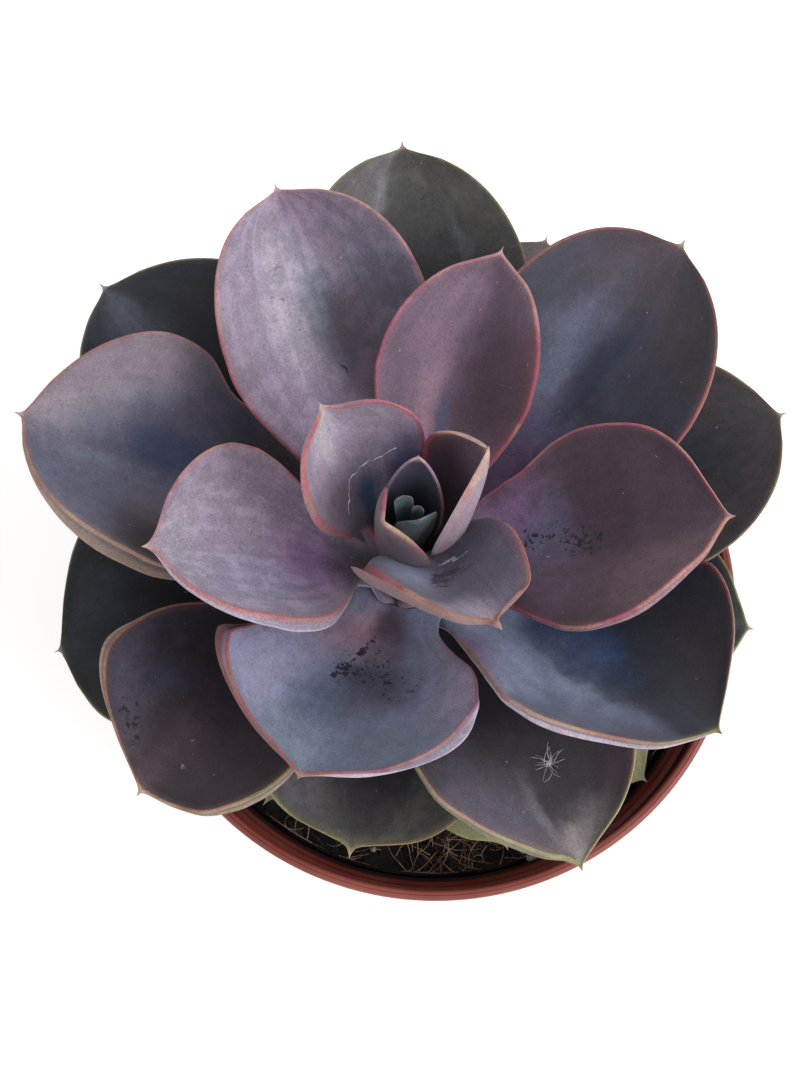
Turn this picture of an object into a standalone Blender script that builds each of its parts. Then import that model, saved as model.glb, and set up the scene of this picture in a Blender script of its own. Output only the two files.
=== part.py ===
"""Potted echeveria: a rosette of cupped fleshy leaves on a short stem, in soil, in a round plastic pot.

Metres, +Z up. The origin is the middle of the pot's underside, where it stands on the surface.
The sizes below are in millimetres and are turned into metres where a mesh gets its points.
"""

from dataclasses import dataclass

import bmesh
import bpy
import numpy as np

MM = 0.001
GAP = 0.3

# Pot
POT_HEIGHT = 106.0
RIM_RADIUS = 60.0
RIM_LIP = 2.0
COLLAR_DROP = 11.0
COLLAR_TAPER = 1.0
COLLAR_STEP = 1.0
FOOT_RADIUS = 43.0
WALL = 1.3
FLOOR = 1.6
GROOVE_RADII = (27.0, 37.0)
GROOVE_RISE = 3.0
GROOVE_SLOPE = 1.5
FOOT_EDGE = 1.0
COLLAR_EDGE = 0.5
LIP_OUTER_EDGE = 0.9
LIP_INNER_EDGE = 0.7
DRAIN_HOLES = 8
DRAIN_RADIUS = 3.2
DRAIN_SIDES = 12
ROUND_SIDES = 48

# Soil
SOIL_LEVEL = 90.0
SOIL_MOUND = 3.0
SOIL_MOUND_RADIUS = 26.0
SOIL_WAVES = ((0.36, 0.16, 1.3, 0.8), (-0.12, 0.41, 0.0, 0.6), (0.61, -0.53, 2.0, 0.5))  # x, y, phase, height
SOIL_EDGE = 4.0
SOIL_RINGS = 11

# Stem, which leans off the pot's axis as the plant was potted
PLANT_X = -5.0
PLANT_Y = 0.0
STEM_RADIUS = 8.6
STEM_SHOULDER = 112.0
STEM_TOP = 124.2
STEM_FOOT = 66.0
STEM_CHAMFER = 2.0
STEM_SIDES = 24
DOME_RINGS = 7

# Leaf form, shared by every leaf. Shares run from 0 at the stem to 1 at the tip.
LEAF_SIDES = 16
LEAF_STATIONS = 15
TIP_CROWDING = 1.55  # how much closer the stations stand towards the tip
LEAF_ROOT = 3.0
BOW = 0.38
SPINE_LENGTH = 2.4
SPINE_RADIUS = 0.75
SPINE_BASE = 1.7  # how far back into the blade the spine's cone reaches, in spine lengths
FULL_SPINE_WIDTH = 30.0  # a narrower leaf has a smaller spine
TOP_SHARE = 0.3  # how much of the thickness lies on the upper side
WIDTH_FALL = 2.2  # how late the width falls away towards the tip
THICK_FALL = 2.6
THICK_POINT = 0.6
TIP_THINNING = 0.35
ROOT_THICK = 0.55  # thickness at the stem, as a share of the full one
ROOT_CUP = 0.6
THICK_BY = 0.35  # share by which the thickness is full, then the cup, then the crease and the roll
CUP_BY = 0.4
TURN_BY = 0.3
CREASE_ROUND = 0.03

# Closed middle of the rosette: a small knob as (radius, height) over its foot, with its blades joined to it
KNOB = ((0, 0), (1.2, 0), (2.0, 1.2), (1.8, 5.7), (0, 8.7))
KNOB_SIDES = 16
BLADE_SIDES = 12
BLADE_STATIONS = 11


@dataclass
class Leaf:
    """One leaf: where it grows, where its tip is, and how its blade is shaped."""

    azimuth: float  # degrees round the stem, from +X towards +Y
    reach: float  # stem's axis to tip, seen from above
    tip: float  # height of the tip
    foot: float  # height where it leaves the stem
    width: float
    rise: tuple  # slope of the midrib at the stem and at the tip, in degrees
    cup: float = 40.0  # half the arc that the cross-section turns through, in degrees
    fold: float = 0.10  # depth of the crease along the midrib, as a share of half the width
    roll: float = 0.0  # degrees that the blade is turned about its midrib, lifting the +azimuth side
    sway: float = 0.0  # how far the midrib bows sideways
    lean: float = 0.0  # how much wider the +azimuth side is than the middle, as a share
    neck: float = 0.24  # width at the stem, as a share of the full width
    shoulder: float = 0.60  # where the blade is widest, as a share of its length
    point: float = 0.56  # 0.5 is a round end, 1 is a pointed one
    thick: float = 4.2


# The leaves from the middle of the rosette outwards, leaf_01 first
LEAVES = (
    Leaf(213, 5.4, 160, 123.6, 17, (80, 88), cup=57, neck=0.44, sway=-0.7, lean=-0.02, point=0.42, thick=2),
    Leaf(81, 9.3, 160, 123.4, 12.2, (82, 82), cup=54, neck=0.4, sway=0, point=0.52, thick=1.8),
    Leaf(
        38, 16.9, 161, 122.5, 20.8, (64, 74),
        cup=66, roll=-30, neck=0.32, sway=-0.7, point=0.46, thick=2.6,
    ),
    Leaf(
        130, 24, 161, 122.35, 27.8, (52, 56),
        cup=46, neck=0.28, sway=-0.5, shoulder=0.68, point=0.4, thick=3,
    ),
    Leaf(
        306.5, 25.5, 158, 121.7, 30.6, (86, 18),
        cup=57, fold=0.14, roll=-19, sway=-2, neck=0.36, shoulder=0.62, point=0.4, thick=3.2,
    ),
    Leaf(72, 55, 152, 120.8, 31.5, (28, 36), cup=38, sway=1.5),
    Leaf(184, 46.5, 148, 120.6, 40, (28, 38), cup=42, roll=12, sway=-2.6, lean=0.06, neck=0.27),
    Leaf(2, 56.5, 149, 118.9, 41, (24, 36), cup=38, sway=1.8, shoulder=0.57),
    Leaf(
        246.5, 47, 146, 118.6, 51.5, (20, 42),
        cup=40, sway=-0.5, lean=0.03, neck=0.34, shoulder=0.55, point=0.42,
    ),
    Leaf(110.5, 71.5, 149, 117.5, 44, (18, 32), cup=36, sway=-0.5, point=0.44),
    Leaf(
        327.5, 64, 139, 116.2, 50.5, (18, 32),
        cup=42, roll=-13, sway=4.6, lean=0.04, neck=0.22, shoulder=0.54, point=0.5,
    ),
    Leaf(48, 76.5, 146, 114.7, 46.5, (16, 30), cup=36, sway=-1.6, neck=0.23, point=0.46),
    Leaf(
        161, 76.5, 140, 113.8, 50, (14, 28),
        cup=38, roll=5, sway=-3.1, lean=-0.01, shoulder=0.59, point=0.51,
    ),
    Leaf(
        222.5, 65, 131, 111.5, 46.5, (12, 26),
        cup=35, neck=0.2, sway=-4.6, lean=-0.06, shoulder=0.74, point=0.42,
    ),
    Leaf(299, 64, 121, 110.0, 43, (8, 14), cup=34, sway=4.4, neck=0.3, shoulder=0.48),
    Leaf(91, 82, 139, 110.0, 47, (14, 28), cup=32, sway=-2.2, point=0.5),
    Leaf(22.5, 78.5, 127, 107.8, 46, (8, 20), cup=28, sway=1.4),
    Leaf(137, 83.3, 128, 106.8, 51, (6, 22), cup=26, sway=-2.2),
    Leaf(192.5, 69, 117, 104.2, 50.5, (4, 18), cup=22, neck=0.22, sway=-7.4, shoulder=0.68, point=0.42),
    Leaf(68.5, 77.5, 119, 103.8, 38, (2, 18), cup=18, fold=0.05),
    Leaf(258, 54, 111, 102.8, 46, (5, 14), cup=26, neck=0.22, sway=-1, point=0.46),
    Leaf(352, 67.5, 113, 102.0, 41, (2, 16), cup=18, sway=2.4),
    Leaf(290.5, 54, 104, 100.0, 27, (0, 8), cup=16, thick=3.2),
    Leaf(321.5, 59.5, 100.5, 96.3, 27, (0, 8), cup=18, thick=3.2),
    Leaf(236, 50.5, 103, 98.3, 27, (0, 10), cup=18, thick=3.2),
)

# The smallest leaves, still closed over the growing point, which are one body
HEART_LEAVES = (
    Leaf(112, 3.6, 156, 128.4, 6.5, (70, 92), cup=50, neck=0.5, thick=1.3),
    Leaf(40, 2.8, 155, 128.4, 5.0, (74, 92), cup=50, neck=0.5, thick=1.3),
    Leaf(300, 1.2, 155.5, 128.4, 7.8, (66, 104), cup=56, neck=0.5, thick=1.3),
)

COLOURS = {
    "pot": ((0.27, 0.075, 0.05), 0.5),
    "soil": ((0.02, 0.014, 0.011), 0.95),
    "stem": ((0.16, 0.12, 0.08), 0.85),
    "leaf_inner": ((0.22, 0.17, 0.24), 0.6),
    "leaf_middle": ((0.17, 0.16, 0.22), 0.6),
    "leaf_outer": ((0.07, 0.08, 0.09), 0.6),
    "leaf_low": ((0.16, 0.19, 0.11), 0.6),
}
INNER_LEAVES = 9
MIDDLE_LEAVES = 15
OUTER_LEAVES = 22


def clear_scene():
    for obj in list(bpy.data.objects):
        bpy.data.objects.remove(obj)


def material(name):
    """The plain finish of that name."""
    found = bpy.data.materials.get(name)
    if found:
        return found
    colour, roughness = COLOURS[name]
    made = bpy.data.materials.new(name)
    made.use_nodes = True
    shader = made.node_tree.nodes["Principled BSDF"]
    shader.inputs["Base Color"].default_value = (*colour, 1.0)
    shader.inputs["Roughness"].default_value = roughness
    shader.inputs["Metallic"].default_value = 0.0
    return made


def add_object(name, bm, finish=None):
    """A named object from a bmesh whose points are in millimetres."""
    bmesh.ops.scale(bm, vec=(MM, MM, MM), verts=bm.verts)
    mesh = bpy.data.meshes.new(name)
    bm.to_mesh(mesh)
    bm.free()
    mesh.shade_smooth()
    mesh.set_sharp_from_angle(angle=np.radians(40))
    obj = bpy.data.objects.new(name, mesh)
    bpy.context.scene.collection.objects.link(obj)
    if finish:
        mesh.materials.append(material(finish))
    return obj


def as_cutter(obj):
    obj.hide_render = True
    obj.display_type = "WIRE"
    return obj


def cut(obj, cutter):
    modifier = obj.modifiers.new("cut_" + cutter.name, "BOOLEAN")
    modifier.operation = "DIFFERENCE"
    modifier.solver = "EXACT"
    modifier.object = cutter


def turned(profile, sides, centre=(0.0, 0.0)):
    """A bmesh turned about a vertical axis from (radius, height) points that start and end on it."""
    bm = bmesh.new()
    verts = [bm.verts.new((radius, 0.0, height)) for radius, height in profile]
    edges = [bm.edges.new(pair) for pair in zip(verts, verts[1:])]
    bmesh.ops.spin(
        bm,
        geom=verts + edges,
        cent=(0, 0, 0),
        axis=(0, 0, 1),
        angle=2 * np.pi,
        steps=sides,
        use_merge=True,
    )
    bmesh.ops.remove_doubles(bm, verts=bm.verts, dist=0.001)
    bmesh.ops.recalc_face_normals(bm, faces=bm.faces)
    bmesh.ops.translate(bm, vec=(*centre, 0.0), verts=bm.verts)
    return bm


def wall_radius(height):
    """Outside of the pot's tapered wall."""
    top = RIM_RADIUS - COLLAR_TAPER - COLLAR_STEP
    return FOOT_RADIUS + (top - FOOT_RADIUS) * height / POT_HEIGHT


def floor_profile():
    """(radius, height) along the top of the pot's floor, from the axis to the wall."""
    inner, outer = GROOVE_RADII
    rise = FLOOR + GROOVE_RISE
    wall = wall_radius(FLOOR) - WALL
    ring = [(inner - GROOVE_SLOPE, FLOOR), (inner, rise), (outer, rise), (outer + GROOVE_SLOPE, FLOOR)]
    return [(0, FLOOR), *ring, (wall, FLOOR)]


def rounded(radius, size, first):
    """Quarter of a circle on the rim's top edge, as (radius, height), from the angle first on."""
    angles = np.radians((first, first + 45, first + 90))
    return [(radius + size * np.cos(a), POT_HEIGHT - size + size * np.sin(a)) for a in angles]


def make_pot():
    inner, outer = GROOVE_RADII
    collar = POT_HEIGHT - COLLAR_DROP
    lip = RIM_RADIUS - RIM_LIP
    under = [
        (0, 0),
        (inner, 0),
        (inner + GROOVE_SLOPE, GROOVE_RISE),
        (outer - GROOVE_SLOPE, GROOVE_RISE),
        (outer, 0),
    ]
    outside = [
        (FOOT_RADIUS - FOOT_EDGE, 0),
        (FOOT_RADIUS, FOOT_EDGE),
        (wall_radius(collar), collar),
        (RIM_RADIUS - COLLAR_TAPER - COLLAR_EDGE, collar),
        (RIM_RADIUS - COLLAR_TAPER, collar + COLLAR_EDGE),
    ]
    rim = rounded(RIM_RADIUS - LIP_OUTER_EDGE, LIP_OUTER_EDGE, 0)
    rim += rounded(lip + LIP_INNER_EDGE, LIP_INNER_EDGE, 90)
    step = collar - RIM_LIP
    inside = [(lip - WALL / 4, collar), (wall_radius(step) - WALL, step)]
    profile = under + outside + rim + inside + floor_profile()[::-1]
    pot = add_object("pot", turned(profile, ROUND_SIDES), "pot")
    holes = bmesh.new()
    middle = (inner + outer) / 2
    for index in range(DRAIN_HOLES):
        angle = 2 * np.pi * index / DRAIN_HOLES
        made = bmesh.ops.create_cone(
            holes,
            cap_ends=True,
            segments=DRAIN_SIDES,
            radius1=DRAIN_RADIUS,
            radius2=DRAIN_RADIUS,
            depth=4 * GROOVE_RISE,
        )
        place = (middle * np.cos(angle), middle * np.sin(angle), GROOVE_RISE)
        bmesh.ops.translate(holes, vec=place, verts=made["verts"])
    cut(pot, as_cutter(add_object("drain_cutter", holes)))


def soil_height(x, y):
    """The soil's lumpy top, a low mound round the stem."""
    away = np.hypot(x - PLANT_X, y - PLANT_Y)
    mound = SOIL_MOUND * np.exp(-((away / SOIL_MOUND_RADIUS) ** 2))
    lumps = sum(high * np.sin(along * x + across * y + phase) for along, across, phase, high in SOIL_WAVES)
    return SOIL_LEVEL + mound + lumps


def soil_side(height):
    """Radius of the soil where it lies against the pot's wall."""
    return wall_radius(height) - WALL - GAP


def make_soil(stem_cutter):
    under = [(radius, height + GAP) for radius, height in floor_profile()[:-1]]
    corner = FLOOR + GAP
    sides = [(soil_side(corner) - GAP, corner), (soil_side(SOIL_LEVEL), SOIL_LEVEL)]
    shrink = np.linspace(1, 0, SOIL_RINGS)[1:]
    top = [(soil_side(SOIL_LEVEL) * share, SOIL_LEVEL) for share in shrink]
    bm = turned(under + sides + top, ROUND_SIDES)
    for vert in bm.verts:
        if vert.co.z > SOIL_LEVEL - 1:
            edge = min(1.0, (soil_side(SOIL_LEVEL) - np.hypot(vert.co.x, vert.co.y)) / SOIL_EDGE)
            vert.co.z += edge * (soil_height(vert.co.x, vert.co.y) - SOIL_LEVEL)
    cut(add_object("soil", bm, "soil"), stem_cutter)


def stem_radius(height):
    """The stem is a column under a domed top."""
    share = np.clip((height - STEM_SHOULDER) / (STEM_TOP - STEM_SHOULDER), 0, 1)
    return STEM_RADIUS * np.sqrt(1 - share**2)


def stem_profile(grow=0.0):
    """(radius, height) from the foot to the top, made thicker all round by grow."""
    turn = np.linspace(0, np.pi / 2, DOME_RINGS)
    radius = STEM_RADIUS + grow
    tall = STEM_TOP - STEM_SHOULDER + grow
    under = STEM_FOOT - grow
    foot = [(0, under), (radius - STEM_CHAMFER, under), (radius, STEM_FOOT + STEM_CHAMFER)]
    dome = [(radius * np.cos(a), STEM_SHOULDER + tall * np.sin(a)) for a in turn[:-1]]
    return foot + dome + [(0, STEM_SHOULDER + tall)]


def make_stem():
    centre = (PLANT_X, PLANT_Y)
    add_object("stem", turned(stem_profile(), STEM_SIDES, centre), "stem")
    return as_cutter(add_object("stem_cutter", turned(stem_profile(GAP), STEM_SIDES, centre)))


def smooth(share):
    share = np.clip(share, 0, 1)
    return share * share * (3 - 2 * share)


def midrib(leaf):
    """The leaf's middle line as arrays of distance along it, radius and height. It starts inside the stem."""
    start = np.array([stem_radius(leaf.foot), leaf.foot])
    end = np.array([leaf.reach, leaf.tip])
    first, last = np.radians(leaf.rise)
    arm = BOW * np.linalg.norm(end - start)
    leave = start + arm * np.array([np.cos(first), np.sin(first)])
    arrive = end - arm * np.array([np.cos(last), np.sin(last)])
    t = np.linspace(0, 1, 60)[:, None]
    curve = (1 - t) ** 3 * start + 3 * (1 - t) ** 2 * t * leave + 3 * (1 - t) * t**2 * arrive + t**3 * end
    root = start - LEAF_ROOT * np.array([np.cos(first), np.sin(first)])
    curve = np.vstack([root, curve])
    steps = np.linalg.norm(np.diff(curve, axis=0), axis=1)
    along = np.concatenate([[0], np.cumsum(steps)]) - LEAF_ROOT
    return along, curve[:, 0], curve[:, 1]


def half_sizes(leaf, along, length):
    """Half the width and half the thickness of the leaf at each distance along its midrib."""
    scale = min(1.0, leaf.width / FULL_SPINE_WIDTH)
    blade = length - SPINE_LENGTH * scale
    share = np.clip(along / blade, 0, 1)
    swell = leaf.neck + (1 - leaf.neck) * smooth(share / leaf.shoulder)
    fall = np.clip((share - leaf.shoulder) / (1 - leaf.shoulder), 0, 1)
    width = leaf.width / 2 * swell * (1 - fall**WIDTH_FALL) ** leaf.point
    body = ROOT_THICK + (1 - ROOT_THICK) * smooth(share / THICK_BY)
    thick = leaf.thick / 2 * body * (1 - TIP_THINNING * share) * (1 - fall**THICK_FALL) ** THICK_POINT
    spine = SPINE_RADIUS * scale * np.clip((length - along) / (SPINE_BASE * SPINE_LENGTH * scale), 0, 1)
    return np.cbrt(width**3 + spine**3), np.cbrt(thick**3 + spine**3)


def leaf_points(leaf, station, turn):
    """Points of the leaf's skin. station is 0 at the root and 1 at the tip; turn goes round the section."""
    line, radii, heights = midrib(leaf)
    length = line[-1]
    along = -LEAF_ROOT + station * (length + LEAF_ROOT)
    step = 0.01 * length
    radius = np.interp(along, line, radii)
    height = np.interp(along, line, heights)
    run = np.interp(along + step, line, radii) - np.interp(along - step, line, radii)
    climb = np.interp(along + step, line, heights) - np.interp(along - step, line, heights)
    slope = np.arctan2(climb, run)

    half_width, half_thick = half_sizes(leaf, along, length)
    share = np.clip(along / length, 0, 1)
    across = np.cos(turn)
    arc = np.radians(leaf.cup) * (ROOT_CUP + (1 - ROOT_CUP) * smooth(share / CUP_BY))
    bend = half_width * (1 + leaf.lean * across) / arc
    side = bend * np.sin(arc * across)
    lift = bend * (1 - np.cos(arc * across))
    crease = np.sqrt(across**2 + CREASE_ROUND) - np.sqrt(CREASE_ROUND)
    lift = lift + leaf.fold * half_width * crease * smooth(share / TURN_BY)
    depth = np.sin(turn) * half_thick * np.where(np.sin(turn) > 0, 2 * TOP_SHARE, 2 - 2 * TOP_SHARE)
    side = side - depth * np.sin(arc * across)
    lift = lift + depth * np.cos(arc * across)

    roll = np.radians(leaf.roll) * smooth(share / TURN_BY)
    side, lift = side * np.cos(roll) - lift * np.sin(roll), side * np.sin(roll) + lift * np.cos(roll)
    side = side + leaf.sway * np.sin(np.pi * share)
    out = radius - lift * np.sin(slope)
    up = height + lift * np.cos(slope)
    azimuth = np.radians(leaf.azimuth)
    x = PLANT_X + out * np.cos(azimuth) - side * np.sin(azimuth)
    y = PLANT_Y + out * np.sin(azimuth) + side * np.cos(azimuth)
    return np.stack([x, y, up], axis=-1)


def leaf_mesh(leaf, sides=LEAF_SIDES, stations=LEAF_STATIONS):
    """A sphere drawn out into the leaf: one pole at the root, the other at the tip."""
    bm = bmesh.new()
    bmesh.ops.create_uvsphere(bm, u_segments=sides, v_segments=stations, radius=1.0)
    ball = np.array([vert.co for vert in bm.verts])
    ring = np.round(np.arccos(np.clip(-ball[:, 2], -1, 1)) / np.pi * stations)
    share = np.clip((ring - 1) / (stations - 1), 0, 1)
    station = 1 - (1 - share) ** TIP_CROWDING
    turn = np.arctan2(ball[:, 1], ball[:, 0])
    points = leaf_points(leaf, station, turn)
    middle = leaf_points(leaf, np.zeros(2), np.array([0.5, -0.5]) * np.pi).mean(axis=0)
    points[ring == 0] = middle
    for vert, point in zip(bm.verts, points):
        vert.co = point
    bmesh.ops.recalc_face_normals(bm, faces=bm.faces)
    return bm


def leaf_finish(index):
    if index < INNER_LEAVES:
        return "leaf_inner"
    if index < MIDDLE_LEAVES:
        return "leaf_middle"
    return "leaf_outer" if index < OUTER_LEAVES else "leaf_low"


def make_leaves(stem_cutter):
    for index, leaf in enumerate(LEAVES):
        cut(add_object(f"leaf_{index + 1:02d}", leaf_mesh(leaf), leaf_finish(index)), stem_cutter)


def make_heart():
    """The closed middle of the rosette: a small knob with the smallest leaves joined to it."""
    knob = [(radius, STEM_TOP + GAP + height) for radius, height in KNOB]
    heart = add_object("heart", turned(knob, KNOB_SIDES, (PLANT_X, PLANT_Y)), "leaf_inner")
    for index, leaf in enumerate(HEART_LEAVES):
        bm = leaf_mesh(leaf, BLADE_SIDES, BLADE_STATIONS)
        blade = as_cutter(add_object(f"heart_blade_{index + 1}", bm))
        modifier = heart.modifiers.new("join_" + blade.name, "BOOLEAN")
        modifier.operation = "UNION"
        modifier.solver = "EXACT"
        modifier.object = blade


def main():
    clear_scene()
    make_pot()
    stem_cutter = make_stem()
    make_soil(stem_cutter)
    make_leaves(stem_cutter)
    make_heart()


main()
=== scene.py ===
import math
import random

import bmesh
import bpy
import numpy as np
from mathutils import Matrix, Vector, noise


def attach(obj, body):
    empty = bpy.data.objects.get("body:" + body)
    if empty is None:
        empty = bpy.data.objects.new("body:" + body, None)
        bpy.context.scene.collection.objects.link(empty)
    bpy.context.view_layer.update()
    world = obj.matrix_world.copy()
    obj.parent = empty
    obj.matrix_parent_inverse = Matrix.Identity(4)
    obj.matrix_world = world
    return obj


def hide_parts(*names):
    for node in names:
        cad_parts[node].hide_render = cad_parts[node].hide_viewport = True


# An echeveria in its nursery pot, seen from the front and well above.
# Shapes are worked out in millimetres and turned into metres once they are finished.
# Places in the materials, and those of the light and floor, are in metres.

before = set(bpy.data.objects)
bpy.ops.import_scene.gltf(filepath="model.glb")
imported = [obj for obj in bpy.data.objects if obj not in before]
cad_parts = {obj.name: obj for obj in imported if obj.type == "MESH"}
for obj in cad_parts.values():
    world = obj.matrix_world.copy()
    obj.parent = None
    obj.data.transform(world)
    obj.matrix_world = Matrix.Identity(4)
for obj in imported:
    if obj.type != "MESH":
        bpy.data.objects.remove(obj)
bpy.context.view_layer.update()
mm = 0.001
print("frame loaded,", len(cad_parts), "CAD nodes")


# small helpers for nodes

def feed(tree, socket, value):
    if isinstance(value, bpy.types.NodeSocket):
        tree.links.new(value, socket)
    else:
        socket.default_value = value


def addNode(tree, kind, *values, **settings):  # the values go to the node's first sockets
    made = tree.nodes.new("ShaderNode" + kind)
    for name, setting in settings.items():
        setattr(made, name, setting)
    for socket, value in zip(made.inputs, values):
        feed(tree, socket, value)
    return made


def calc(tree, operation, *values):
    return addNode(tree, "Math", *values, operation=operation).outputs[0]


def times(tree, first, second):
    return calc(tree, "MULTIPLY", first, second)


def plus(tree, first, second):
    return calc(tree, "ADD", first, second)


def minus(tree, first, second):
    return calc(tree, "SUBTRACT", first, second)


def rise(tree, value, low, high):  # 0 below low, 1 above high, smooth between
    return addNode(tree, "MapRange", value, low, high, interpolation_type="SMOOTHSTEP").outputs["Result"]


def fall(tree, value, low, high):
    return minus(tree, 1.0, rise(tree, value, low, high))


def aboutZero(tree, value, amount):
    return times(tree, minus(tree, value, 0.5), amount)


def tint(tree, share, first, second):
    made = addNode(tree, "Mix", share, data_type="RGBA")
    feed(tree, made.inputs[6], first)
    feed(tree, made.inputs[7], second)
    return made.outputs[2]


def grain(tree, vector, scale, detail=2.0, rough=0.5):
    made = addNode(tree, "TexNoise", vector)
    for label, value in (("Scale", scale), ("Detail", detail), ("Roughness", rough)):
        made.inputs[label].default_value = value
    return made.outputs["Fac"]


def brighter(tree, colour, factor):
    made = addNode(tree, "VectorMath", colour, operation="SCALE")
    feed(tree, made.inputs["Scale"], factor)
    return made.outputs[0]


def newGroup(name, inputs, outputs):
    tree = bpy.data.node_groups.new(name, "ShaderNodeTree")
    kinds = {"c": "NodeSocketColor", "f": "NodeSocketFloat", "v": "NodeSocketVector"}
    for label, kind in inputs:
        tree.interface.new_socket(label, in_out="INPUT", socket_type=kinds[kind])
    for label, kind in outputs:
        tree.interface.new_socket(label, in_out="OUTPUT", socket_type=kinds[kind])
    return tree, tree.nodes.new("NodeGroupInput").outputs, tree.nodes.new("NodeGroupOutput").inputs


def placeGroup(tree, group, settings):
    made = addNode(tree, "Group", node_tree=group)
    for label, value in settings.items():
        feed(tree, made.inputs[label], paint(value) if isinstance(value, str) else value)
    return made.outputs


def newMaterial(name, roughness, specular):
    material = bpy.data.materials.new(name)
    material.use_nodes = True
    tree = material.node_tree
    shader = tree.nodes["Principled BSDF"]
    shader.inputs["Roughness"].default_value = roughness
    shader.inputs["Specular IOR Level"].default_value = specular
    return material, tree, shader, tree.nodes.new("ShaderNodeTexCoord").outputs["Object"]


def bump(tree, shader, height, strength, distance):
    made = tree.nodes.new("ShaderNodeBump")
    for label, value in (("Strength", strength), ("Distance", distance), ("Height", height)):
        feed(tree, made.inputs[label], value)
    tree.links.new(made.outputs["Normal"], shader.inputs["Normal"])


# small helpers for meshes

def toMetres(bm):
    bmesh.ops.scale(bm, vec=(mm, mm, mm), verts=bm.verts)
    return bm


def addPiece(name, bm, material, slot, *nodes):
    mesh = bpy.data.meshes.new(name)
    bm.to_mesh(mesh)
    bm.free()
    mesh.shade_smooth()
    mesh.materials.append(material)
    piece = bpy.data.objects.new(name, mesh)
    bpy.context.scene.collection.objects.link(piece)
    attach(piece, "root")
    if nodes:
        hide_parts(*nodes)
    return piece


def evaluated(thing):
    bpy.context.view_layer.update()
    return bpy.data.meshes.new_from_object(thing.evaluated_get(bpy.context.evaluated_depsgraph_get()))


def pour(heap, bm):  # adds one bmesh to another
    spare = bpy.data.meshes.new("spare")
    bm.to_mesh(spare)
    bm.free()
    heap.from_mesh(spare)
    bpy.data.meshes.remove(spare)


def spun(profile, steps, centre=(0.0, 0.0)):
    bm = bmesh.new()
    verts = [bm.verts.new((radius, 0.0, height)) for radius, height in profile]
    edges = [bm.edges.new(pair) for pair in zip(verts, verts[1:])]
    turn = dict(cent=(0, 0, 0), axis=(0, 0, 1), angle=2 * math.pi)
    bmesh.ops.spin(bm, geom=verts + edges, steps=steps, use_merge=True, **turn)
    bmesh.ops.remove_doubles(bm, verts=bm.verts, dist=0.001)
    bmesh.ops.recalc_face_normals(bm, faces=bm.faces)
    bmesh.ops.translate(bm, vec=(*centre, 0.0), verts=bm.verts)
    return bm


# paints, as screen colours from 0 to 255

paints = {
    "chalk": (176, 171, 176), "ash": (158, 152, 162), "ashDark": (122, 118, 126), "cream": (182, 160, 152),
    "underAsh": (152, 140, 150), "underClay": (134, 112, 114), "lilac": (148, 137, 154),
    "lilacBlue": (152, 150, 174), "lilacPink": (148, 132, 146), "orchidPale": (142, 124, 154),
    "orchid": (128, 102, 136), "rose": (140, 114, 128), "roseBrown": (108, 88, 96), "mauve": (118, 99, 118),
    "mauveLight": (126, 106, 124), "mauveGrey": (132, 121, 132), "mauveGreyDark": (106, 100, 112),
    "mauveBrown": (104, 90, 101), "brownGrey": (108, 97, 101), "plumLight": (84, 68, 80),
    "plum": (72, 56, 70), "plumBrown": (84, 70, 78), "plumDark": (54, 44, 54), "redPlum": (86, 50, 60),
    "umber": (62, 54, 57), "deepShade": (32, 28, 36), "charcoal": (56, 54, 61),
    "charcoalSlate": (76, 80, 94), "charcoalBlue": (54, 57, 68), "slate": (92, 94, 112),
    "slateBlue": (114, 120, 140), "slateLilac": (108, 102, 128), "slateMauve": (92, 86, 101),
    "slateGrey": (106, 112, 124), "slateDark": (74, 74, 88), "nightDeep": (46, 54, 76),
    "iceBlue": (156, 168, 194), "tipPale": (158, 150, 150), "ashBrown": (70, 65, 70),
    "iceSteel": (150, 160, 186), "slateOlive": (84, 84, 82), "blueSlate": (84, 93, 118),
    "night": (54, 64, 92), "nightShade": (52, 54, 74), "nightGreen": (46, 52, 60), "navy": (42, 45, 66),
    "indigo": (64, 74, 114), "indigoDark": (62, 64, 84), "deepBlue": (58, 76, 108),
    "steelGrey": (110, 124, 134), "skySteel": (134, 144, 166), "greyTeal": (122, 132, 143),
    "teal": (72, 100, 130), "darkTeal": (50, 64, 80), "greyGreen": (140, 142, 114),
    "paleOlive": (166, 166, 130), "yellowGreen": (150, 148, 104), "rimRose": (158, 94, 108),
    "rimCoral": (182, 110, 114), "rimRed": (152, 80, 92), "rimPink": (172, 128, 134),
    "rimMauve": (134, 88, 108), "rimDusty": (146, 104, 112), "rimBrick": (150, 92, 88),
    "rimTan": (168, 140, 122), "rimBrown": (134, 100, 86), "rimOlive": (136, 126, 96),
    "rimGreen": (158, 156, 114), "underPink": (150, 128, 140), "underPale": (178, 170, 186),
    "underBrown": (122, 98, 100), "underTan": (146, 130, 120), "underGreen": (118, 122, 104),
    "brickBrown": (118, 84, 84), "heartGreen": (70, 82, 88), "heartTeal": (84, 100, 106),
    "heartRim": (112, 116, 118), "bloom": (178, 172, 182), "speck": (34, 31, 38),
}


def paint(name):
    screen = [value / 255 for value in paints[name]]
    return (*[v / 12.92 if v < 0.04045 else ((v + 0.055) / 1.055) ** 2.4 for v in screen], 1.0)


# leaf shapes: the CAD leaves, with finer stations and the small changes that rimShift and the rest give

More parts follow.
